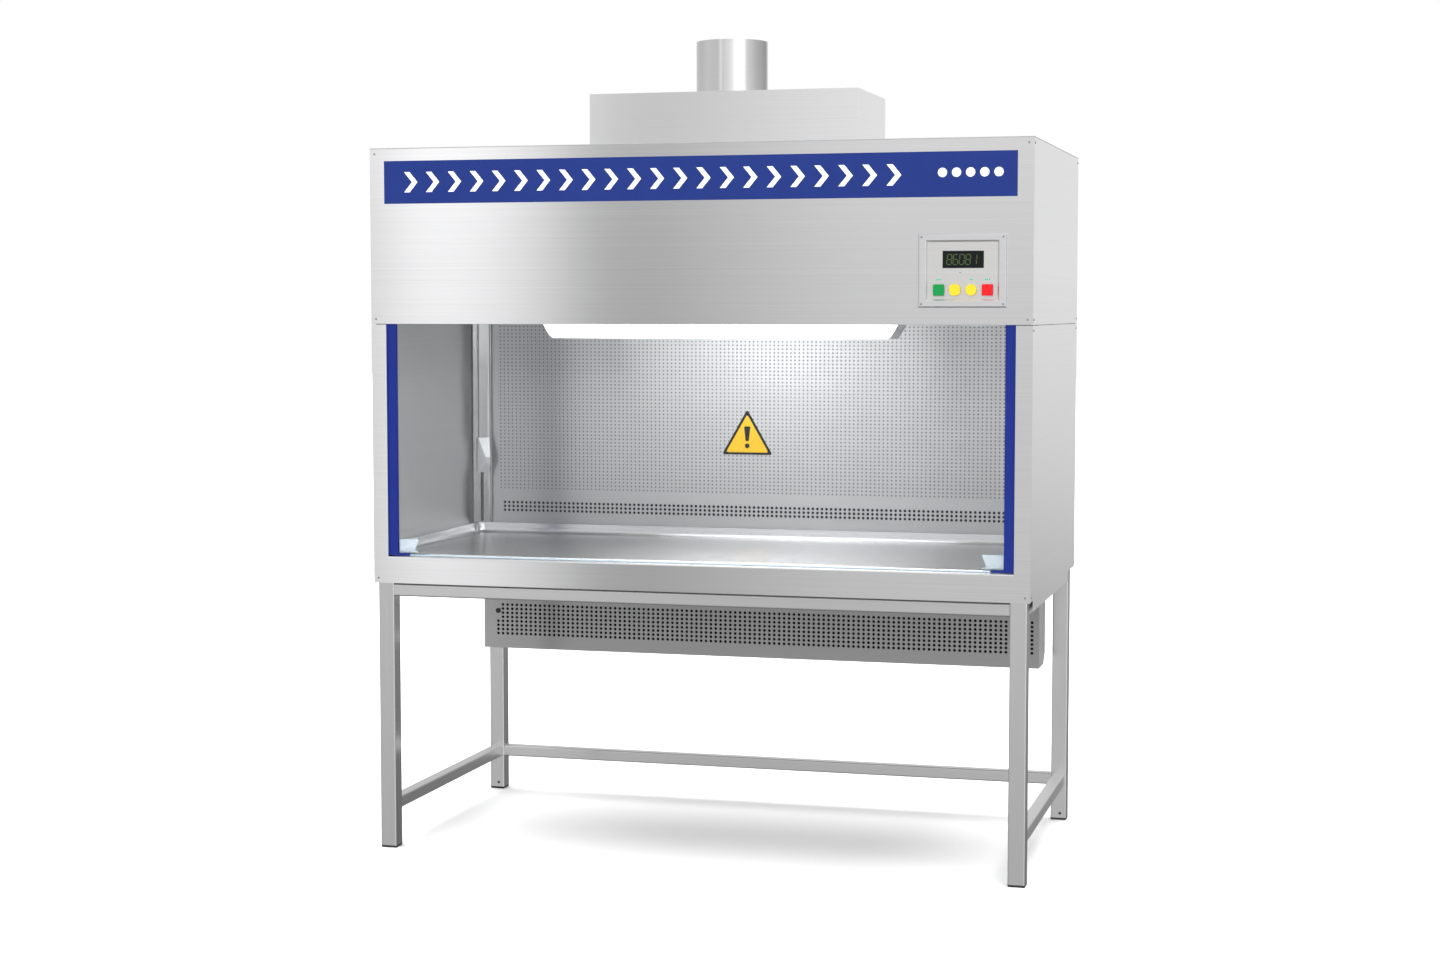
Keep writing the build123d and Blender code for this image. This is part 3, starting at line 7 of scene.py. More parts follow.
import bmesh
import bpy
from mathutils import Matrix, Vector


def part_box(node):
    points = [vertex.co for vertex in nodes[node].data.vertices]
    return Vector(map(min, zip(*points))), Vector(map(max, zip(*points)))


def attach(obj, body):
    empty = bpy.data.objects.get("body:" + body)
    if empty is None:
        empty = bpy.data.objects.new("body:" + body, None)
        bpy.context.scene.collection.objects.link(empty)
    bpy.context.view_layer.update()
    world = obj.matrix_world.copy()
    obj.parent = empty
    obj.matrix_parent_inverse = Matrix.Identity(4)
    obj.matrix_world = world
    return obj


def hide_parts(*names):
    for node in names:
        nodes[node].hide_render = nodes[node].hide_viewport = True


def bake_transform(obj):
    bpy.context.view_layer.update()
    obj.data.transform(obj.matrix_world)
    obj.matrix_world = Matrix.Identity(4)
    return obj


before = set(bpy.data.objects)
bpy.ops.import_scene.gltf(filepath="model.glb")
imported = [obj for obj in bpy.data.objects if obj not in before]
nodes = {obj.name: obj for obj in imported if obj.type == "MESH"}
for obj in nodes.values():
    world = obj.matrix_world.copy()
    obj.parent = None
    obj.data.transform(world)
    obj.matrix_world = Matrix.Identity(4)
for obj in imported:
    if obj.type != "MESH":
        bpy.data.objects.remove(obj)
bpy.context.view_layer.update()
scene = bpy.context.scene


# ------------------------------------------------------------------ camera, sky and lights
CAMERA_PLACE = (1.539, -5.751, 1.318)
CAMERA_TILT = math.radians(85.9)  # up from straight down
CAMERA_TURN = math.radians(15.33)  # from +Y towards -X
LENS_MM = 59.62
SENSOR_MM = 36

# brightness of the studio around the object: degrees from -Y towards -X, brightness
STUDIO = (
    (-180, 0.66), (-168, 0.66), (-163, 0.42), (-148, 0.30), (-120, 0.42), (-62, 0.55),
    (-54, 1.05), (-24, 1.15), (-18, 0.78), (4, 0.60), (8, 0.60), (12, 0.60), (15, 0.49),
    (16.8, 0.40), (18.6, 0.41), (19.6, 0.66), (20.4, 0.84), (22.4, 0.96), (23.4, 0.68),
    (30, 0.46), (60, 0.48), (100, 0.50), (148, 0.55), (168, 0.66), (180, 0.66),
)
# brightness up the sky: height of the direction, brightness
HEIGHTS = (
    (-1.0, 0.30), (-0.30, 0.62), (-0.08, 0.93), (0.04, 0.97), (0.10, 1.25), (0.3, 1.4),
    (1.0, 1.2),
)
# the same behind the object, where the lower part is dark
HEIGHTS_BEHIND = (
    (-1.0, 0.20), (-0.22, 0.34), (-0.14, 0.52), (-0.06, 0.84), (0.02, 1.0), (1.0, 1.0),
)
STUDIO_STRENGTH = 1.25
BACKGROUND = (1.0, 1.0, 1.0)

SUN_ENERGY = 4.7
SUN_ANGLE = math.radians(85)  # wide, so that its shadows are soft
SUN_DIRECTION = (0.12, -0.10, -1)

COLOUR_A, COLOUR_B, COLOUR_RESULT = 6, 7, 2  # the colour sockets of a Mix node


def set_camera():
    data = bpy.data.cameras.new("photo_camera")
    data.lens = LENS_MM
    data.sensor_width = SENSOR_MM
    data.dof.use_dof = False
    camera = bpy.data.objects.new("photo_camera", data)
    camera.location = CAMERA_PLACE
    camera.rotation_euler = (CAMERA_TILT, 0, CAMERA_TURN)
    scene.collection.objects.link(camera)
    scene.camera = camera


def feed(tree, value, socket):
    """Links a value into the socket, or sets the socket to a plain number."""
    if isinstance(value, bpy.types.NodeSocket):
        tree.links.new(value, socket)
    elif value is not None:
        socket.default_value = value


def ramp(tree, factor, stops):
    """A colour ramp. Each stop is a place with a colour or a grey."""
    node = tree.nodes.new("ShaderNodeValToRGB")
    elements = node.color_ramp.elements
    while len(elements) < len(stops):
        elements.new(1.0)
    for element, (place, value) in zip(elements, stops):
        element.position = place
        element.color = (*value, 1) if isinstance(value, tuple) else (value, value, value, 1)
    tree.links.new(factor, node.inputs["Fac"])
    return node.outputs["Color"]


def math_node(tree, operation, a, b=None, c=None, clamp=False):
    node = tree.nodes.new("ShaderNodeMath")
    node.operation = operation
    node.use_clamp = clamp
    for socket, value in zip(node.inputs, (a, b, c)):
        feed(tree, value, socket)
    return node.outputs[0]


def axes(tree, vector):
    """The outputs X, Y and Z of a vector."""
    node = tree.nodes.new("ShaderNodeSeparateXYZ")
    tree.links.new(vector, node.inputs[0])
    return node.outputs


def mix_colours(tree, factor, first, second, blend_type="MIX"):
    node = tree.nodes.new("ShaderNodeMix")
    node.data_type = "RGBA"
    node.blend_type = blend_type
    feed(tree, factor, node.inputs["Factor"])
    tree.links.new(first, node.inputs[COLOUR_A])
    tree.links.new(second, node.inputs[COLOUR_B])
    return node.outputs[COLOUR_RESULT]


def mix_shaders(tree, factor, first, second):
    node = tree.nodes.new("ShaderNodeMixShader")
    for socket, value in zip(node.inputs, (factor, first, second)):
        tree.links.new(value, socket)
    return node.outputs[0]


def set_sky():
    """A studio that lights the object and shows in it; the camera sees a plain background."""
    world = bpy.data.worlds.new("studio")
    world.use_nodes = True
    scene.world = world
    tree = world.node_tree
    tree.nodes.clear()
    direction = axes(tree, tree.nodes.new("ShaderNodeTexCoord").outputs["Generated"])
    left = math_node(tree, "MULTIPLY", direction["X"], -1.0)
    front = math_node(tree, "MULTIPLY", direction["Y"], -1.0)
    turn = math_node(tree, "ARCTAN2", left, front)
    share = math_node(tree, "ADD", math_node(tree, "DIVIDE", turn, 2 * math.pi), 0.5)
    around = ramp(tree, share, [(degrees / 360 + 0.5, value) for degrees, value in STUDIO])
    height = math_node(tree, "ADD", math_node(tree, "MULTIPLY", direction["Z"], 0.5), 0.5)
    up_front = ramp(tree, height, [(place / 2 + 0.5, value) for place, value in HEIGHTS])
    up_behind = ramp(tree, height, [(place / 2 + 0.5, value) for place, value in HEIGHTS_BEHIND])
    behind = math_node(tree, "MULTIPLY_ADD", direction["Y"], 2.0, 0.5, clamp=True)
    upward = mix_colours(tree, behind, up_front, up_behind)
    studio = tree.nodes.new("ShaderNodeBackground")
    studio.inputs["Strength"].default_value = STUDIO_STRENGTH
    tree.links.new(mix_colours(tree, 1, around, upward, "MULTIPLY"), studio.inputs["Color"])
    plain = tree.nodes.new("ShaderNodeBackground")
    plain.inputs["Color"].default_value = (*BACKGROUND, 1)
    camera_ray = tree.nodes.new("ShaderNodeLightPath").outputs["Is Camera Ray"]
    seen = mix_shaders(tree, camera_ray, studio.outputs[0], plain.outputs[0])
    out = tree.nodes.new("ShaderNodeOutputWorld")
    tree.links.new(seen, out.inputs["Surface"])


def set_lights():
    data = bpy.data.lights.new("overhead", "SUN")
    data.energy = SUN_ENERGY
    data.angle = SUN_ANGLE
    light = bpy.data.objects.new("overhead", data)
    scene.collection.objects.link(light)
    light.rotation_euler = Vector(SUN_DIRECTION).to_track_quat("-Z", "Y").to_euler()
    light.visible_glossy = False


# ------------------------------------------------------------------ materials
BUMP_DEPTH = 0.0002
BRUSH_TINT = 0.045  # how far brushing lightens and darkens the metal
BRUSH_MARKS = 0.012  # and how far it changes the roughness
def material(name):
    """A material with one Principled shader; returns it, its tree and the shader."""
    made = bpy.data.materials.new(name)
    made.use_nodes = True
    tree = made.node_tree
    tree.nodes.clear()
    shader = tree.nodes.new("ShaderNodeBsdfPrincipled")
    out = tree.nodes.new("ShaderNodeOutputMaterial")
    tree.links.new(shader.outputs[0], out.inputs["Surface"])
    return made, tree, shader


def coordinates(tree, scale=(1, 1, 1)):
    source = tree.nodes.new("ShaderNodeTexCoord").outputs["Object"]
    mapping = tree.nodes.new("ShaderNodeMapping")
    mapping.inputs["Scale"].default_value = scale
    tree.links.new(source, mapping.inputs["Vector"])
    return mapping.outputs[0]


def noise(tree, vector, scale, detail=3.0, roughness=0.6):
    node = tree.nodes.new("ShaderNodeTexNoise")
    node.inputs["Scale"].default_value = scale
    node.inputs["Detail"].default_value = detail
    node.inputs["Roughness"].default_value = roughness
    tree.links.new(vector, node.inputs["Vector"])
    return node.outputs["Fac"]


def spread(tree, value, low, high, source=(0.3, 0.7)):
    node = tree.nodes.new("ShaderNodeMapRange")
    node.inputs["From Min"].default_value, node.inputs["From Max"].default_value = source
    node.inputs["To Min"].default_value = low
    node.inputs["To Max"].default_value = high
    tree.links.new(value, node.inputs["Value"])
    return node.outputs["Result"]


def add_bump(tree, shader, height, strength, distance=BUMP_DEPTH):
    node = tree.nodes.new("ShaderNodeBump")
    node.inputs["Strength"].default_value = strength
    node.inputs["Distance"].default_value = distance
    tree.links.new(height, node.inputs["Height"])
    tree.links.new(node.outputs["Normal"], shader.inputs["Normal"])


def shades(colour, low, high):
    """Ramp stops from the colour times low to the colour times high."""
    return [(0.0, tuple(c * low for c in colour)), (1.0, tuple(c * high for c in colour))]


def weighted(tree, first, second, share):
    """That share of the first value, and the rest from the second."""
    main = math_node(tree, "MULTIPLY", first, share)
    return math_node(tree, "ADD", main, math_node(tree, "MULTIPLY", second, 1 - share))


def brushed(name, colour, roughness, grain, axis, turn, anisotropic):
    """Brushed sheet metal. grain is fine across the brushing and coarse along it."""
    made, tree, shader = material(name)
    shader.inputs["Metallic"].default_value = 1.0
    shader.inputs["Anisotropic"].default_value = anisotropic
    shader.inputs["Anisotropic Rotation"].default_value = turn
    tangent = tree.nodes.new("ShaderNodeTangent")
    tangent.direction_type = "RADIAL"
    tangent.axis = axis
    tree.links.new(tangent.outputs[0], shader.inputs["Tangent"])
    fine = noise(tree, coordinates(tree, grain), 1.0, 2.0)
    broad = noise(tree, coordinates(tree, tuple(g * 0.3 for g in grain)), 1.0, 4.0)
    patches = noise(tree, coordinates(tree), 5.0, 3.0)
    streaks = weighted(tree, fine, broad, 0.45)
    tones = shades(colour, 1 - BRUSH_TINT, 1 + BRUSH_TINT)
    tree.links.new(ramp(tree, spread(tree, streaks, 0, 1), tones), shader.inputs["Base Color"])
    worn = weighted(tree, streaks, patches, 0.6)
    worn = spread(tree, worn, roughness - BRUSH_MARKS, roughness + BRUSH_MARKS)
    tree.links.new(worn, shader.inputs["Roughness"])
    add_bump(tree, shader, fine, 0.05)
    return made


def moulded(
    name, colour, roughness, metallic=0.0, coat=0.0, grain=900.0, strength=0.08, tint=0.05,
    gloss=0.5,
):
    """Paint, plastic or rubber with a fine texture."""
    made, tree, shader = material(name)
    shader.inputs["Metallic"].default_value = metallic
    shader.inputs["Specular IOR Level"].default_value = gloss
    shader.inputs["Coat Weight"].default_value = coat
    shader.inputs["Coat Roughness"].default_value = 0.12
    fine = noise(tree, coordinates(tree), grain, 2.0)
    patches = noise(tree, coordinates(tree), 14.0, 4.0)
    tones = shades(colour, 1 - tint, 1 + tint)
    tree.links.new(ramp(tree, spread(tree, patches, 0, 1), tones), shader.inputs["Base Color"])
    worn = spread(tree, patches, roughness - 0.05, roughness + 0.05)
    tree.links.new(worn, shader.inputs["Roughness"])
    add_bump(tree, shader, fine, strength)
    return made


def clear(name, colour, roughness, ior, tint=0.03, transmission=1.0):
    """Clear sheet that lets lamps through to what is behind it."""
    made, tree, shader = material(name)
    shader.inputs["Transmission Weight"].default_value = transmission
    shader.inputs["IOR"].default_value = ior
    smears = noise(tree, coordinates(tree, (1, 1, 0.4)), 7.0, 3.0)
    tree.links.new(ramp(tree, smears, shades(colour, 1 - tint, 1.0)), shader.inputs["Base Color"])
    worn = spread(tree, smears, roughness, roughness + 0.02)
    tree.links.new(worn, shader.inputs["Roughness"])
    add_bump(tree, shader, smears, 0.01, 0.0005)
    path = tree.nodes.new("ShaderNodeLightPath").outputs
    open_way = tree.nodes.new("ShaderNodeBsdfTransparent")
    through = math_node(tree, "MAXIMUM", path["Is Shadow Ray"], path["Is Diffuse Ray"])
    mixed = mix_shaders(tree, through, shader.outputs[0], open_way.outputs[0])
    out = next(n for n in tree.nodes if n.type == "OUTPUT_MATERIAL")
    tree.links.new(mixed, out.inputs["Surface"])
    return made


def glowing(name, colour, strength, base=(0.8, 0.8, 0.8), falloff=None):
    """A light source; with falloff, it dims to that share towards both ends in x."""
    made, tree, shader = material(name)
    mottle = noise(tree, coordinates(tree), 60.0, 2.0)
    tree.links.new(ramp(tree, mottle, shades(base, 0.94, 1.0)), shader.inputs["Base Color"])
    tree.links.new(spread(tree, mottle, 0.3, 0.4), shader.inputs["Roughness"])
    shader.inputs["Emission Color"].default_value = (*colour, 1)
    if falloff:
        away = math_node(tree, "ABSOLUTE", axes(tree, coordinates(tree))["X"])
        glow = spread(tree, away, strength, strength * falloff, (0.05, 0.46))
    else:
        glow = strength
    feed(tree, glow, shader.inputs["Emission Strength"])
    add_bump(tree, shader, mottle, 0.05)
    return made


# grain of the brushing
ALONG_X = (2.0, 1500.0, 1500.0)
ALONG_Y = (1500.0, 2.0, 1500.0)
ALONG_Z = (1500.0, 1500.0, 2.0)
LEVEL = (2.0, 2.0, 1500.0)

case_steel = brushed("case_steel", (0.79, 0.79, 0.80), 0.10, LEVEL, "Z", 0.25, 0.97)
plenum_steel = brushed("plenum_steel", (0.90, 0.90, 0.91), 0.15, LEVEL, "Z", 0.25, 0.97)
duct_steel = brushed("duct_steel", (0.78, 0.78, 0.79), 0.28, LEVEL, "Z", 0.25, 0.8)
trunking_steel = brushed("trunking_steel", (0.36, 0.36, 0.36), 0.34, ALONG_Z, "Z", 0.0, 0.6)
roof_steel = brushed("roof_steel", (0.74, 0.745, 0.755), 0.28, ALONG_X, "Z", 0.0, 0.5)
# the chamber's steel in two copies: a darker, shaded one for the rear wall, ceiling and screen,
# and a lighter, lit one for the side walls: painted shade and painted light
chamber_steel = brushed("chamber_steel", (0.46, 0.46, 0.465), 0.36, LEVEL, "Z", 0.25, 0.85)
lit_wall_steel = brushed("lit_wall_steel", (0.58, 0.58, 0.585), 0.34, LEVEL, "Z", 0.25, 0.85)
screen_steel = brushed("screen_steel", (0.46, 0.46, 0.465), 0.36, LEVEL, "Z", 0.25, 0.9)
tray_steel = brushed("tray_steel", (0.74, 0.74, 0.75), 0.25, ALONG_X, "X", 0.0, 0.97)
grille_steel = brushed("grille_steel", (0.50, 0.50, 0.50), 0.34, LEVEL, "Z", 0.25, 0.8)
# the stand's tubes are one steel: the legs and the cross rails in a lighter, lit copy, the rails
# along the depth in a darker, shaded copy: painted light and shade
leg_steel = brushed("leg_steel", (0.74, 0.74, 0.74), 0.22, ALONG_Z, "Z", 0.0, 0.85)
cross_steel = brushed("cross_steel", (0.74, 0.74, 0.74), 0.30, ALONG_X, "X", 0.0, 0.85)
shaded_depth_steel = brushed("shaded_depth_steel", (0.62, 0.62, 0.62), 0.30, ALONG_Y, "Y", 0.0, 0.85)
bezel_metal = brushed("bezel_metal", (0.84, 0.84, 0.85), 0.42, LEVEL, "Z", 0.25, 0.5)
plate_metal = brushed("plate_metal", (0.84, 0.835, 0.82), 0.50, LEVEL, "Z", 0.25, 0.3)
mechanism_steel = brushed("mechanism_steel", (0.5, 0.5, 0.52), 0.3, ALONG_X, "X", 0.0, 0.6)
screw_steel = brushed("screw_steel", (0.42, 0.42, 0.44), 0.3, ALONG_Z, "Y", 0.0, 0.4)
fascia_blue = moulded(
    "fascia_blue", (0.006, 0.022, 0.155), 0.36, grain=500.0, strength=0.05, gloss=0.25
)
seal_blue = moulded("seal_blue", (0.003, 0.015, 0.17), 0.5, grain=700.0, gloss=0.2)
# painted shade: the dark blue of the strip in the joint under the header
joint_shade_blue = moulded("joint_shade_blue", (0.008, 0.022, 0.20), 0.45, grain=700.0)
rubber = moulded("foot_rubber", (0.02, 0.02, 0.021), 0.75, strength=0.3)
black_plastic = moulded("board_black", (0.004, 0.005, 0.006), 0.30, gloss=0.2)
green_plastic = moulded("button_green", (0.0, 0.22, 0.045), 0.36, gloss=0.25)
yellow_plastic = moulded("button_yellow", (0.72, 0.50, 0.020), 0.36, gloss=0.25)
red_plastic = moulded("button_red", (0.58, 0.007, 0.010), 0.36, gloss=0.2)
guide_plastic = moulded("guide_plastic", (0.72, 0.72, 0.69), 0.5)
socket_plastic = moulded("socket_plastic", (0.52, 0.53, 0.54), 0.34, metallic=0.55)
lamp_paint = moulded("lamp_paint", (0.62, 0.62, 0.63), 0.45, coat=0.1)
filter_paper = moulded("filter_paper", (0.80, 0.79, 0.74), 0.9, grain=1800.0, strength=0.4)
prefilter_foam = moulded(
    "prefilter_foam", (0.018, 0.0185, 0.019), 0.9, grain=1200.0, strength=0.4, tint=0.6, gloss=0.2
)
# painted shade: the dark grey that closes each hole of the perforated screen
painted_hole_shade = moulded("painted_hole_shade", (0.20, 0.20, 0.20), 0.85, grain=1500.0, strength=0.3)
fan_paint = moulded("fan_paint", (0.20, 0.205, 0.21), 0.45, metallic=0.6)
white_vinyl = moulded("white_vinyl", (0.86, 0.87, 0.88), 0.45, grain=400.0, strength=0.03)
label_yellow = moulded(
    "label_yellow", (0.74, 0.44, 0.008), 0.5, grain=400.0, strength=0.03, gloss=0.15
)
label_black = moulded(
    "label_black", (0.006, 0.006, 0.006), 0.6, grain=400.0, strength=0.03, gloss=0.1
)
mark_green = moulded("mark_green", (0.02, 0.42, 0.30), 0.5)
mark_grey = moulded("mark_grey", (0.24, 0.24, 0.25), 0.5)
window_glass = clear("sash_clear", (0.97, 0.985, 0.99), 0.0, 1.30)
tab_plastic = clear("tab_clear", (0.74, 0.84, 0.90), 0.10, 1.40, 0.12, transmission=0.72)
# the sash glass's lower edge: partly its own blue tint, partly a painted highlight
edge_tint_and_highlight = moulded("glass_edge", (0.50, 0.66, 0.78), 0.35, gloss=0.3)
lamp_glow = glowing("lamp_glow", (1.0, 1.0, 1.0), 9.5, falloff=0.16)
digit_glow = glowing("digit_glow", (0.20, 0.36, 0.05), 0.22, (0.02, 0.035, 0.01))

FINISHES = {
    leg_steel: ("leg_front_left", "leg_front_right", "leg_rear_left", "leg_rear_right"),
    cross_steel: ("top_rails_cross", "rear_stretcher"),
    shaded_depth_steel: ("top_rails_side", "side_stretchers"),
    rubber: ("foot_caps", "cable_grommet"),
    case_steel: (
        "front_frame", "header_panel", "lower_panel_left", "lower_panel_right",
        "lower_panel_back", "upper_panel_left", "upper_panel_right", "upper_panel_back",
        "floor_pan",
    ),
    plenum_steel: ("exhaust_plenum",),
    duct_steel: ("duct_collar",),
    trunking_steel: ("corner_trunking",),
    roof_steel: ("roof_panel", "blower_deck"),
    chamber_steel: ("rear_baffle", "perforated_screen", "chamber_ceiling"),
    lit_wall_steel: ("inner_wall_left", "inner_wall_right"),
    tray_steel: ("work_tray",),
    grille_steel: ("intake_grille", "intake_box"),
    fascia_blue: ("fascia_strip",),
    bezel_metal: ("control_bezel",),
    plate_metal: ("control_plate",),
    black_plastic: ("control_board",),
    green_plastic: ("button_green",),
    yellow_plastic: ("button_yellow_left", "button_yellow_right"),
    red_plastic: ("button_red",),
    window_glass: ("sash_glass",),
    tab_plastic: ("sash_pull_tabs",),
    seal_blue: ("sash_edge_seals",),
    guide_plastic: ("sash_guides", "shaft_bearings"),
    mechanism_steel: ("sync_shaft", "counterweights", "sash_cables"),
    screw_steel: ("panel_screws",),
    socket_plastic: ("socket_box", "socket_flap"),
    lamp_glow: ("lamp_diffuser", "lamp_tubes"),
    lamp_paint: ("lamp_housing",),
    filter_paper: ("supply_filter", "exhaust_filter"),
    prefilter_foam: ("prefilter",),
    fan_paint: ("blower_housing", "blower_motor", "blower_impeller"),
}
for finish, names in FINISHES.items():
    for node_name in names:
        for slot in nodes[node_name].material_slots:
            slot.material = finish

# folded and cut edges are eased, so that they catch the light: width of the bevel, nodes
EASED = {
    0.0006: (
        "front_frame", "header_panel", "roof_panel", "exhaust_plenum", "intake_box",
        "upper_panel_left", "upper_panel_right", "upper_panel_back", "lower_panel_left",
        "lower_panel_right", "lower_panel_back",
    ),
    0.0004: (
        "fascia_strip", "control_bezel", "sash_edge_seals", "sash_pull_tabs", "socket_box",
    ),
    0.0012: ("work_tray", "corner_trunking", "counterweights", "lamp_housing"),
}
SHARP_ANGLE = math.radians(35)  # edges that turn more than this are eased
WELD_DISTANCE = 0.00002
for width, names in EASED.items():
    for node_name in names:
        weld = nodes[node_name].modifiers.new("weld", "WELD")
        weld.merge_threshold = WELD_DISTANCE
        bevel = nodes[node_name].modifiers.new("eased_edges", "BEVEL")
        bevel.width = width
        bevel.segments = 2
        bevel.limit_method = "ANGLE"
        bevel.angle_limit = SHARP_ANGLE
        bevel.harden_normals = True


# ------------------------------------------------------------------ pieces
def piece(name, vertices, faces, finishes, body, indices=None):
    """A new visible piece, from its corners and faces. It rides its body, if it has one."""
    mesh = bpy.data.meshes.new(name)
    mesh.from_pydata([tuple(v) for v in vertices], [], faces)
    for finish in finishes:
        mesh.materials.append(finish)
    if indices:
        mesh.polygons.foreach_set("material_index", indices)
    made = bpy.data.objects.new(name, mesh)
    scene.collection.objects.link(made)
    if body:
        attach(made, body)
    return made


def plate(outline, y, thickness, vertices, faces):
    """Adds a thin plate that faces the front. outline holds (x, z) corners, anticlockwise."""
    start = len(vertices)
    count = len(outline)
    vertices.extend((x, y, z) for x, z in outline)
    vertices.extend((x, y - thickness, z) for x, z in outline)
    faces.append([start + count + i for i in range(count)])
    faces.append([start + i for i in reversed(range(count))])
    for i in range(count):
        j = (i + 1) % count
        faces.append([start + i, start + j, start + count + j, start + count + i])


def rounded(corners, radius, steps=5):
    """The (x, z) outline with its corners rounded."""
    outline = []
    count = len(corners)
    for i, corner in enumerate(corners):
        here = Vector(corner)
        before = (Vector(corners[i - 1]) - here).normalized()
        after = (Vector(corners[(i + 1) % count]) - here).normalized()
        half = before.angle(after) / 2
        reach = radius / math.tan(half)
        start, end = here + before * reach, here + after * reach
        for k in range(steps + 1):
            t = k / steps
            bend = start * (1 - t) ** 2 + here * 2 * t * (1 - t) + end * t * t
            outline.append(tuple(bend))
    return outline


def box_outline(x, z, width, height):
    return [
        (x - width / 2, z - height / 2), (x + width / 2, z - height / 2),
        (x + width / 2, z + height / 2), (x - width / 2, z + height / 2),
    ]


def disc_outline(x, z, radius, steps=32):
    angles = [2 * math.pi * i / steps for i in range(steps)]
    return [(x + radius * math.cos(a), z + radius * math.sin(a)) for a in angles]


def tidy_normals(made):
    mesh = bmesh.new()
    mesh.from_mesh(made.data)
    bmesh.ops.recalc_face_normals(mesh, faces=mesh.faces)
    mesh.to_mesh(made.data)
    mesh.free()


def plates(name, outlines, y, thickness, finish, body):
    """A piece made of thin plates whose backs lie at y."""
    vertices, faces = [], []
    for outline in outlines:
        plate(outline, y, thickness, vertices, faces)
    tidy_normals(piece(name, vertices, faces, [finish], body))


# the finely perforated sheet at the back of the chamber; each hole is closed by a dark grey floor,
# painted shade for the dark space behind the holes
SCREEN_LEFT, SCREEN_RIGHT = -0.700, 0.752
SCREEN_LOW, SCREEN_HIGH = 0.840, 1.3245
HOLE_PITCH_X, HOLE_PITCH_Z = 0.011, 0.0095
HOLE_RADIUS = 0.0026
HOLE_DEPTH = 0.0007
HOLE_SIDES = 8
SHEET, HOLE_SHADE = 0, 1  # the materials of the sheet's faces


def add_hole(x, y, z, corners, vertices, faces, indices):
    """One cell of the sheet, around a hole. corners are the cell's, from its top right one."""
    start = len(vertices)
    for depth in (0, HOLE_DEPTH):
        for k in range(HOLE_SIDES):
            angle = math.radians(360 * (k + 0.5) / HOLE_SIDES)
            dx, dz = HOLE_RADIUS * math.cos(angle), HOLE_RADIUS * math.sin(angle)
            vertices.append((x + dx, y + depth, z + dz))
    for k in range(4):
        first, second = start + 2 * k, start + 2 * k + 1
        third = start + (2 * k + 2) % HOLE_SIDES
        faces.append((corners[k], second, first))
        faces.append((corners[k], corners[(k + 1) % 4], third, second))
    for k in range(HOLE_SIDES):
        here, there = start + k, start + (k + 1) % HOLE_SIDES
        faces.append((here, there, there + HOLE_SIDES, here + HOLE_SIDES))
    indices.extend([SHEET] * (len(faces) - len(indices)))
    # the hole's floor, painted dark grey as shade
    faces.append([start + HOLE_SIDES + k for k in range(HOLE_SIDES)])
    indices.append(HOLE_SHADE)


def perforated_sheet():
    low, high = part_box("perforated_screen")
    columns = round((SCREEN_RIGHT - SCREEN_LEFT) / HOLE_PITCH_X)
    rows = round((SCREEN_HIGH - SCREEN_LOW) / HOLE_PITCH_Z)
    across = columns + 1
    vertices, faces, indices = [], [], []
    for j in range(rows + 1):
        for i in range(across):
            vertices.append((SCREEN_LEFT + i * HOLE_PITCH_X, low.y, SCREEN_LOW + j * HOLE_PITCH_Z))
    for j in range(rows):
        for i in range(columns):
            x = SCREEN_LEFT + (i + 0.5) * HOLE_PITCH_X
            z = SCREEN_LOW + (j + 0.5) * HOLE_PITCH_Z
            below, above = j * across + i, (j + 1) * across + i
            add_hole(x, low.y, z, (above + 1, above, below, below + 1), vertices, faces, indices)
    edge = len(vertices)
    for y in (low.y, high.y):
        vertices.extend([(low.x, y, low.z), (high.x, y, low.z)])
        vertices.extend([(high.x, y, high.z), (low.x, y, high.z)])
    bottom = list(range(across))
    top = [rows * across + i for i in range(across)]
    left = [j * across for j in range(rows + 1)]
    right = [j * across + columns for j in range(rows + 1)]
    faces.append([edge, edge + 1] + bottom[::-1])
    faces.append([edge + 1, edge + 2] + right[::-1])
    faces.append([edge + 2, edge + 3] + top)
    faces.append([edge + 3, edge] + left)
    for k in range(4):
        j = (k + 1) % 4
        faces.append([edge + k, edge + 4 + k, edge + 4 + j, edge + j])
    faces.append([edge + 7, edge + 6, edge + 5, edge + 4])
    indices.extend([SHEET] * (len(faces) - len(indices)))
    finishes = [screen_steel, painted_hole_shade]
    sheet = piece("chamber_screen", vertices, faces, finishes, "case", indices)
    tidy_normals(sheet)
    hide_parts("perforated_screen")


perforated_sheet()


# warning sign on the rear wall
def triangle(x, low_z, high_z, radius):
    half = (high_z - low_z) / math.sqrt(3)
    return rounded([(x - half, low_z), (x + half, low_z), (x, high_z)], radius)


SIGN_X = -0.018
SIGN_LOW, SIGN_HIGH = 0.943, 1.060
BORDER_THICKNESS, PRINT_THICKNESS = 0.0004, 0.0002
BAR_LOW, BAR_HIGH = 0.978, 1.016
border_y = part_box("perforated_screen")[0].y
field_y = border_y - BORDER_THICKNESS
plates(
    "warning_sign_border", [triangle(SIGN_X, SIGN_LOW, SIGN_HIGH, 0.005)],
    border_y, BORDER_THICKNESS, label_black, "case",
)
plates(
    "warning_sign_field", [triangle(SIGN_X, SIGN_LOW + 0.006, SIGN_HIGH - 0.013, 0.004)],
    field_y, PRINT_THICKNESS, label_yellow, "case",
)
bar = [
    (SIGN_X - 0.0042, BAR_LOW), (SIGN_X + 0.0042, BAR_LOW),
    (SIGN_X + 0.0085, BAR_HIGH), (SIGN_X - 0.0085, BAR_HIGH),
]
plates(
    "warning_sign_mark", [rounded(bar, 0.003), disc_outline(SIGN_X, 0.966, 0.0062)],
    field_y - PRINT_THICKNESS, PRINT_THICKNESS, label_black, "case",
)

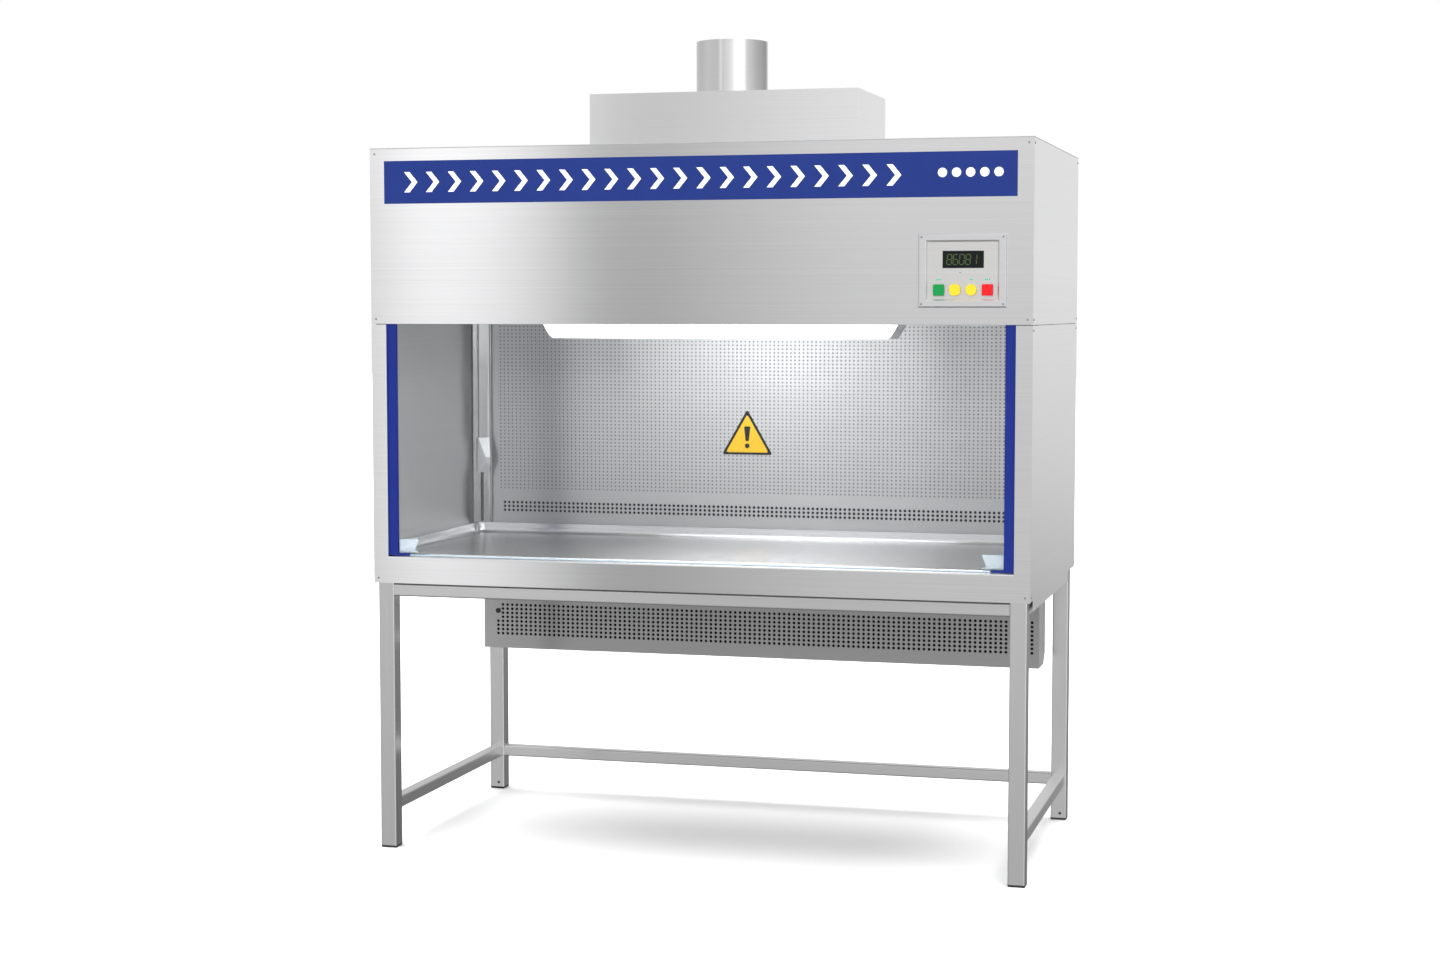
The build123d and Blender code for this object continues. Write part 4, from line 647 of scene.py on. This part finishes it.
# plain graphics on the blue band: a row of chevrons, then discs
CHEVRONS, CHEVRON_START, CHEVRON_PITCH = 22, 0.052, 0.056
CHEVRON_HALF_HEIGHT, CHEVRON_STROKE, CHEVRON_REACH = 0.024, 0.014, 0.020
DISCS, DISC_START, DISC_PITCH, DISC_RADIUS, DISC_RAISED = 5, 0.170, 0.032, 0.0105, 0.004
VINYL_THICKNESS = 0.00015
fascia_low, fascia_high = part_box("fascia_strip")
fascia_mid = (fascia_low.z + fascia_high.z) / 2
chevron_low, chevron_high = fascia_mid - CHEVRON_HALF_HEIGHT, fascia_mid + CHEVRON_HALF_HEIGHT
graphic = []
for i in range(CHEVRONS):
    x = fascia_low.x + CHEVRON_START + i * CHEVRON_PITCH
    graphic.append([
        (x, chevron_low), (x + CHEVRON_STROKE, chevron_low),
        (x + CHEVRON_STROKE + CHEVRON_REACH, fascia_mid),
        (x + CHEVRON_STROKE, chevron_high), (x, chevron_high), (x + CHEVRON_REACH, fascia_mid),
    ])
for i in range(DISCS):
    x = fascia_high.x - DISC_START + i * DISC_PITCH
    graphic.append(disc_outline(x, fascia_mid + DISC_RAISED, DISC_RADIUS))
plates(
    "fascia_graphic", graphic, fascia_low.y, VINYL_THICKNESS, white_vinyl, "case"
)

# the display's digits, with the place and direction of each segment of a digit
board_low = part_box("control_board")[0]
DISPLAY_X, DISPLAY_Z = 0.64175, 1.4295
DIGIT_WIDTH, DIGIT_HEIGHT, DIGIT_STROKE = 0.0105, 0.0225, 0.0019
DIGIT_START, DIGIT_PITCH, DIGIT_LEAN = 0.0315, 0.0142, 0.10
SEGMENTS = {
    "a": (0, 1, 1, 0), "b": (1, 0.5, 0, 1), "c": (1, -0.5, 0, 1), "d": (0, -1, 1, 0),
    "e": (-1, -0.5, 0, 1), "f": (-1, 0.5, 0, 1), "g": (0, 0, 1, 0),
}
DIGITS = ("abcdefg", "acdefg", "abcdef", "abcdefg", "bc")


def digit_segments():
    found = []
    for i, lit in enumerate(DIGITS):
        for letter in lit:
            across, up, wide, high = SEGMENTS[letter]
            width = DIGIT_WIDTH - DIGIT_STROKE * 1.3 if wide else DIGIT_STROKE
            height = DIGIT_HEIGHT / 2 - DIGIT_STROKE * 0.8 if high else DIGIT_STROKE
            rise = up * (DIGIT_HEIGHT / 2)
            x = DISPLAY_X - DIGIT_START + i * DIGIT_PITCH + across * (DIGIT_WIDTH / 2)
            segment = box_outline(x + rise * DIGIT_LEAN, DISPLAY_Z + rise, width, height)
            found.append(rounded(segment, DIGIT_STROKE * 0.45, 3))
    return found


plates(
    "display_digits", digit_segments(), board_low.y, 0.0001, digit_glow, "case"
)

# small marks above the buttons: x of the button, number of marks
BUTTON_MARKS = ((0.58625, 3), (0.66025, 2), (0.69725, 3))
MARK_Z, MARK_PITCH, MARK_WIDTH, MARK_HEIGHT = 1.3845, 0.0042, 0.0032, 0.0036
plate_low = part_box("control_plate")[0]
marks = []
for button_x, count in BUTTON_MARKS:
    for i in range(count):
        x = button_x + (i - (count - 1) / 2) * MARK_PITCH
        marks.append(rounded(box_outline(x, MARK_Z, MARK_WIDTH, MARK_HEIGHT), 0.001, 2))
plates("button_marks", marks, plate_low.y, VINYL_THICKNESS, mark_green, "case")
plates(
    "display_mark", [rounded(box_outline(0.6355, 1.3995, 0.0052, 0.0018), 0.0006, 2)],
    plate_low.y, VINYL_THICKNESS, mark_grey, "case",
)

# a dark blue strip in the joint under the header, painted shade for the gap there; and the lower
# edge of the sash glass as a pale-blue strip, partly the glass edge's own tint and partly a
# painted highlight
JOINT_SHADE_WIDTH, JOINT_SHADE_HEIGHT, JOINT_SHADE_BACK, JOINT_SHADE_THICKNESS = 1.520, 0.0024, 0.0052, 0.0018
EDGE_WIDTH, EDGE_HEIGHT, EDGE_THICKNESS = 1.474, 0.0020, 0.0006
header_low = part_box("header_panel")[0]
glass_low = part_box("sash_glass")[0]
plates(
    "header_joint_shade", [box_outline(0, header_low.z + JOINT_SHADE_HEIGHT / 2, JOINT_SHADE_WIDTH, JOINT_SHADE_HEIGHT)],
    header_low.y + JOINT_SHADE_BACK, JOINT_SHADE_THICKNESS, joint_shade_blue, "case",
)
# the lower edge of the sash glass in pale blue: partly its tint, partly a painted highlight
plates(
    "glass_edge_strip", [box_outline(0, glass_low.z + EDGE_HEIGHT / 2, EDGE_WIDTH, EDGE_HEIGHT)],
    glass_low.y, EDGE_THICKNESS, edge_tint_and_highlight, "sash",
)

# black sheet inside the back panel, seen through the slots of the rear baffle: painted shade
# behind the slots
SHADE_SHEET_INSET, SHADE_SHEET_DROP, SHADE_SHEET_TOP = 0.012, 0.01, 1.255
SHADE_SHEET_BACK, SHADE_SHEET_THICKNESS = 0.0021, 0.0015
back_low, back_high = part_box("lower_panel_back")
shade_sheet_left, shade_sheet_right = back_low.x + SHADE_SHEET_INSET, back_high.x - SHADE_SHEET_INSET
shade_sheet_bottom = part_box("rear_baffle")[0].z - SHADE_SHEET_DROP
shade_sheet = [
    (shade_sheet_left, shade_sheet_bottom), (shade_sheet_right, shade_sheet_bottom),
    (shade_sheet_right, SHADE_SHEET_TOP), (shade_sheet_left, SHADE_SHEET_TOP),
]
plates(
    "plenum_shade_sheet", [rounded(shade_sheet, 0.006)], back_high.y - SHADE_SHEET_BACK, SHADE_SHEET_THICKNESS,
    prefilter_foam, "case",
)

# grey caps on the slanted ends of the lamp cover, which runs out from its foot to its top
LAMP_FOOT_X = 0.4245
CAP_INSET = 0.001
lamp_low, lamp_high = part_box("lamp_diffuser")
cap_top = lamp_high.z - 0.0005
cap_outline = [
    (LAMP_FOOT_X + 0.0035, lamp_low.z + 0.002), (lamp_high.x + 0.0012, cap_top),
    (lamp_high.x + 0.0005, cap_top), (LAMP_FOOT_X - 0.004, lamp_low.z - 0.0003),
    (LAMP_FOOT_X + 0.001, lamp_low.z - 0.0006),
]
vertices, faces = [], []
count = len(cap_outline)
for sign in (-1, 1):
    start = len(vertices)
    for y in (lamp_low.y + CAP_INSET, lamp_high.y - CAP_INSET):
        vertices.extend((sign * x, y, z) for x, z in cap_outline)
    faces.append([start + i for i in range(count)])
    faces.append([start + count + i for i in reversed(range(count))])
    for i in range(count):
        j = (i + 1) % count
        faces.append([start + i, start + count + i, start + count + j, start + j])
caps = piece("lamp_end_caps", vertices, faces, [lamp_paint], "case")
tidy_normals(caps)

# black screws low on the front faces of the rear legs
SCREW_RADIUS, SCREW_THICKNESS, SCREW_OUT, SCREW_UP = 0.0034, 0.0009, 0.004, 0.012
leg_screws = []
for node_name in ("leg_rear_left", "leg_rear_right"):
    low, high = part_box(node_name)
    x = (low.x + high.x) / 2 + SCREW_OUT
    leg_screws.append(disc_outline(x, low.z + SCREW_UP, SCREW_RADIUS, 20))
leg_front_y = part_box("leg_rear_left")[0].y
plates("leg_screws", leg_screws, leg_front_y, SCREW_THICKNESS, rubber, "case")

# sash cables: over the pulleys, down to the sash, and down to the counterweights
CABLE_RADIUS = 0.00075
CABLE_SIDES = 8
OVER_STEPS, FRONT_STEPS, REAR_STEPS = 24, 20, 8


def tube(path, vertices, faces):
    """Adds a closed round tube along a path in a plane of constant x."""
    start = len(vertices)
    side = Vector((1, 0, 0))
    for i, point in enumerate(path):
        ahead = Vector(path[min(i + 1, len(path) - 1)]) - Vector(path[max(i - 1, 0)])
        other = side.cross(ahead.normalized())
        for k in range(CABLE_SIDES):
            angle = 2 * math.pi * k / CABLE_SIDES
            out = side * math.cos(angle) + other * math.sin(angle)
            vertices.append(Vector(point) + out * CABLE_RADIUS)
    for i in range(len(path) - 1):
        ring = start + i * CABLE_SIDES
        following = ring + CABLE_SIDES
        for k in range(CABLE_SIDES):
            j = (k + 1) % CABLE_SIDES
            faces.append([ring + k, ring + j, following + j, following + k])
    faces.append([start + k for k in reversed(range(CABLE_SIDES))])
    end = start + (len(path) - 1) * CABLE_SIDES
    faces.append([end + k for k in range(CABLE_SIDES)])


def straight(x, y, top, bottom, steps):
    return [(x, y, top + (bottom - top) * i / steps) for i in range(steps + 1)]


def over_pulley(x, y, z, radius):
    turns = [math.pi * i / OVER_STEPS for i in range(OVER_STEPS + 1)]
    return [(x, y - radius * math.cos(a), z + radius * math.sin(a)) for a in turns]


def cable(name, paths, body):
    vertices, faces = [], []
    for path in paths:
        tube(path, vertices, faces)
    made = piece(name, vertices, faces, [mechanism_steel], body)
    tidy_normals(made)
    for polygon in made.data.polygons:
        polygon.use_smooth = True
    return made


cable_low, cable_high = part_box("sash_cables")
shaft_low, shaft_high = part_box("sync_shaft")
weight_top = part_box("counterweights")[1].z
shaft_y = (shaft_low.y + shaft_high.y) / 2
shaft_z = (shaft_low.z + shaft_high.z) / 2
front_y = cable_low.y + CABLE_RADIUS
rear_y = 2 * shaft_y - front_y
cable_x = cable_high.x - CABLE_RADIUS
sides = (-cable_x, cable_x)
cable_over = cable(
    "cable_over", [over_pulley(x, shaft_y, shaft_z, shaft_y - front_y) for x in sides], "case"
)
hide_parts("sash_cables")
cable_front = cable(
    "cable_front", [straight(x, front_y, shaft_z, cable_low.z, FRONT_STEPS) for x in sides], None
)
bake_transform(cable_front)
cable_rear = cable(
    "cable_rear", [straight(x, rear_y, shaft_z, weight_top, REAR_STEPS) for x in sides], None
)
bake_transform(cable_rear)

# ------------------------------------------------------------------ stage
FLOOR_REACH = 40
FLOOR_Z = -0.0005


def add_floor():
    """White paper under the object. It doesn't show in reflections."""
    finish, tree, shader = material("floor_paper")
    grain = noise(tree, coordinates(tree), 90.0, 3.0)
    tones = shades((0.93, 0.93, 0.935), 0.99, 1.0)
    tree.links.new(ramp(tree, grain, tones), shader.inputs["Base Color"])
    shader.inputs["Roughness"].default_value = 0.95
    shader.inputs["Specular IOR Level"].default_value = 0.0
    reach = ((-1, -1), (1, -1), (1, 1), (-1, 1))
    corners = [(x * FLOOR_REACH, y * FLOOR_REACH, FLOOR_Z) for x, y in reach]
    mesh = bpy.data.meshes.new("floor")
    mesh.from_pydata(corners, [], [(0, 1, 2, 3)])
    mesh.materials.append(finish)
    floor = bpy.data.objects.new("floor", mesh)
    scene.collection.objects.link(floor)
    floor.visible_glossy = False


add_floor()

set_camera()
set_sky()
set_lights()
scene.view_settings.view_transform = "Standard"
scene.view_settings.look = "None"

bpy.context.view_layer.update()
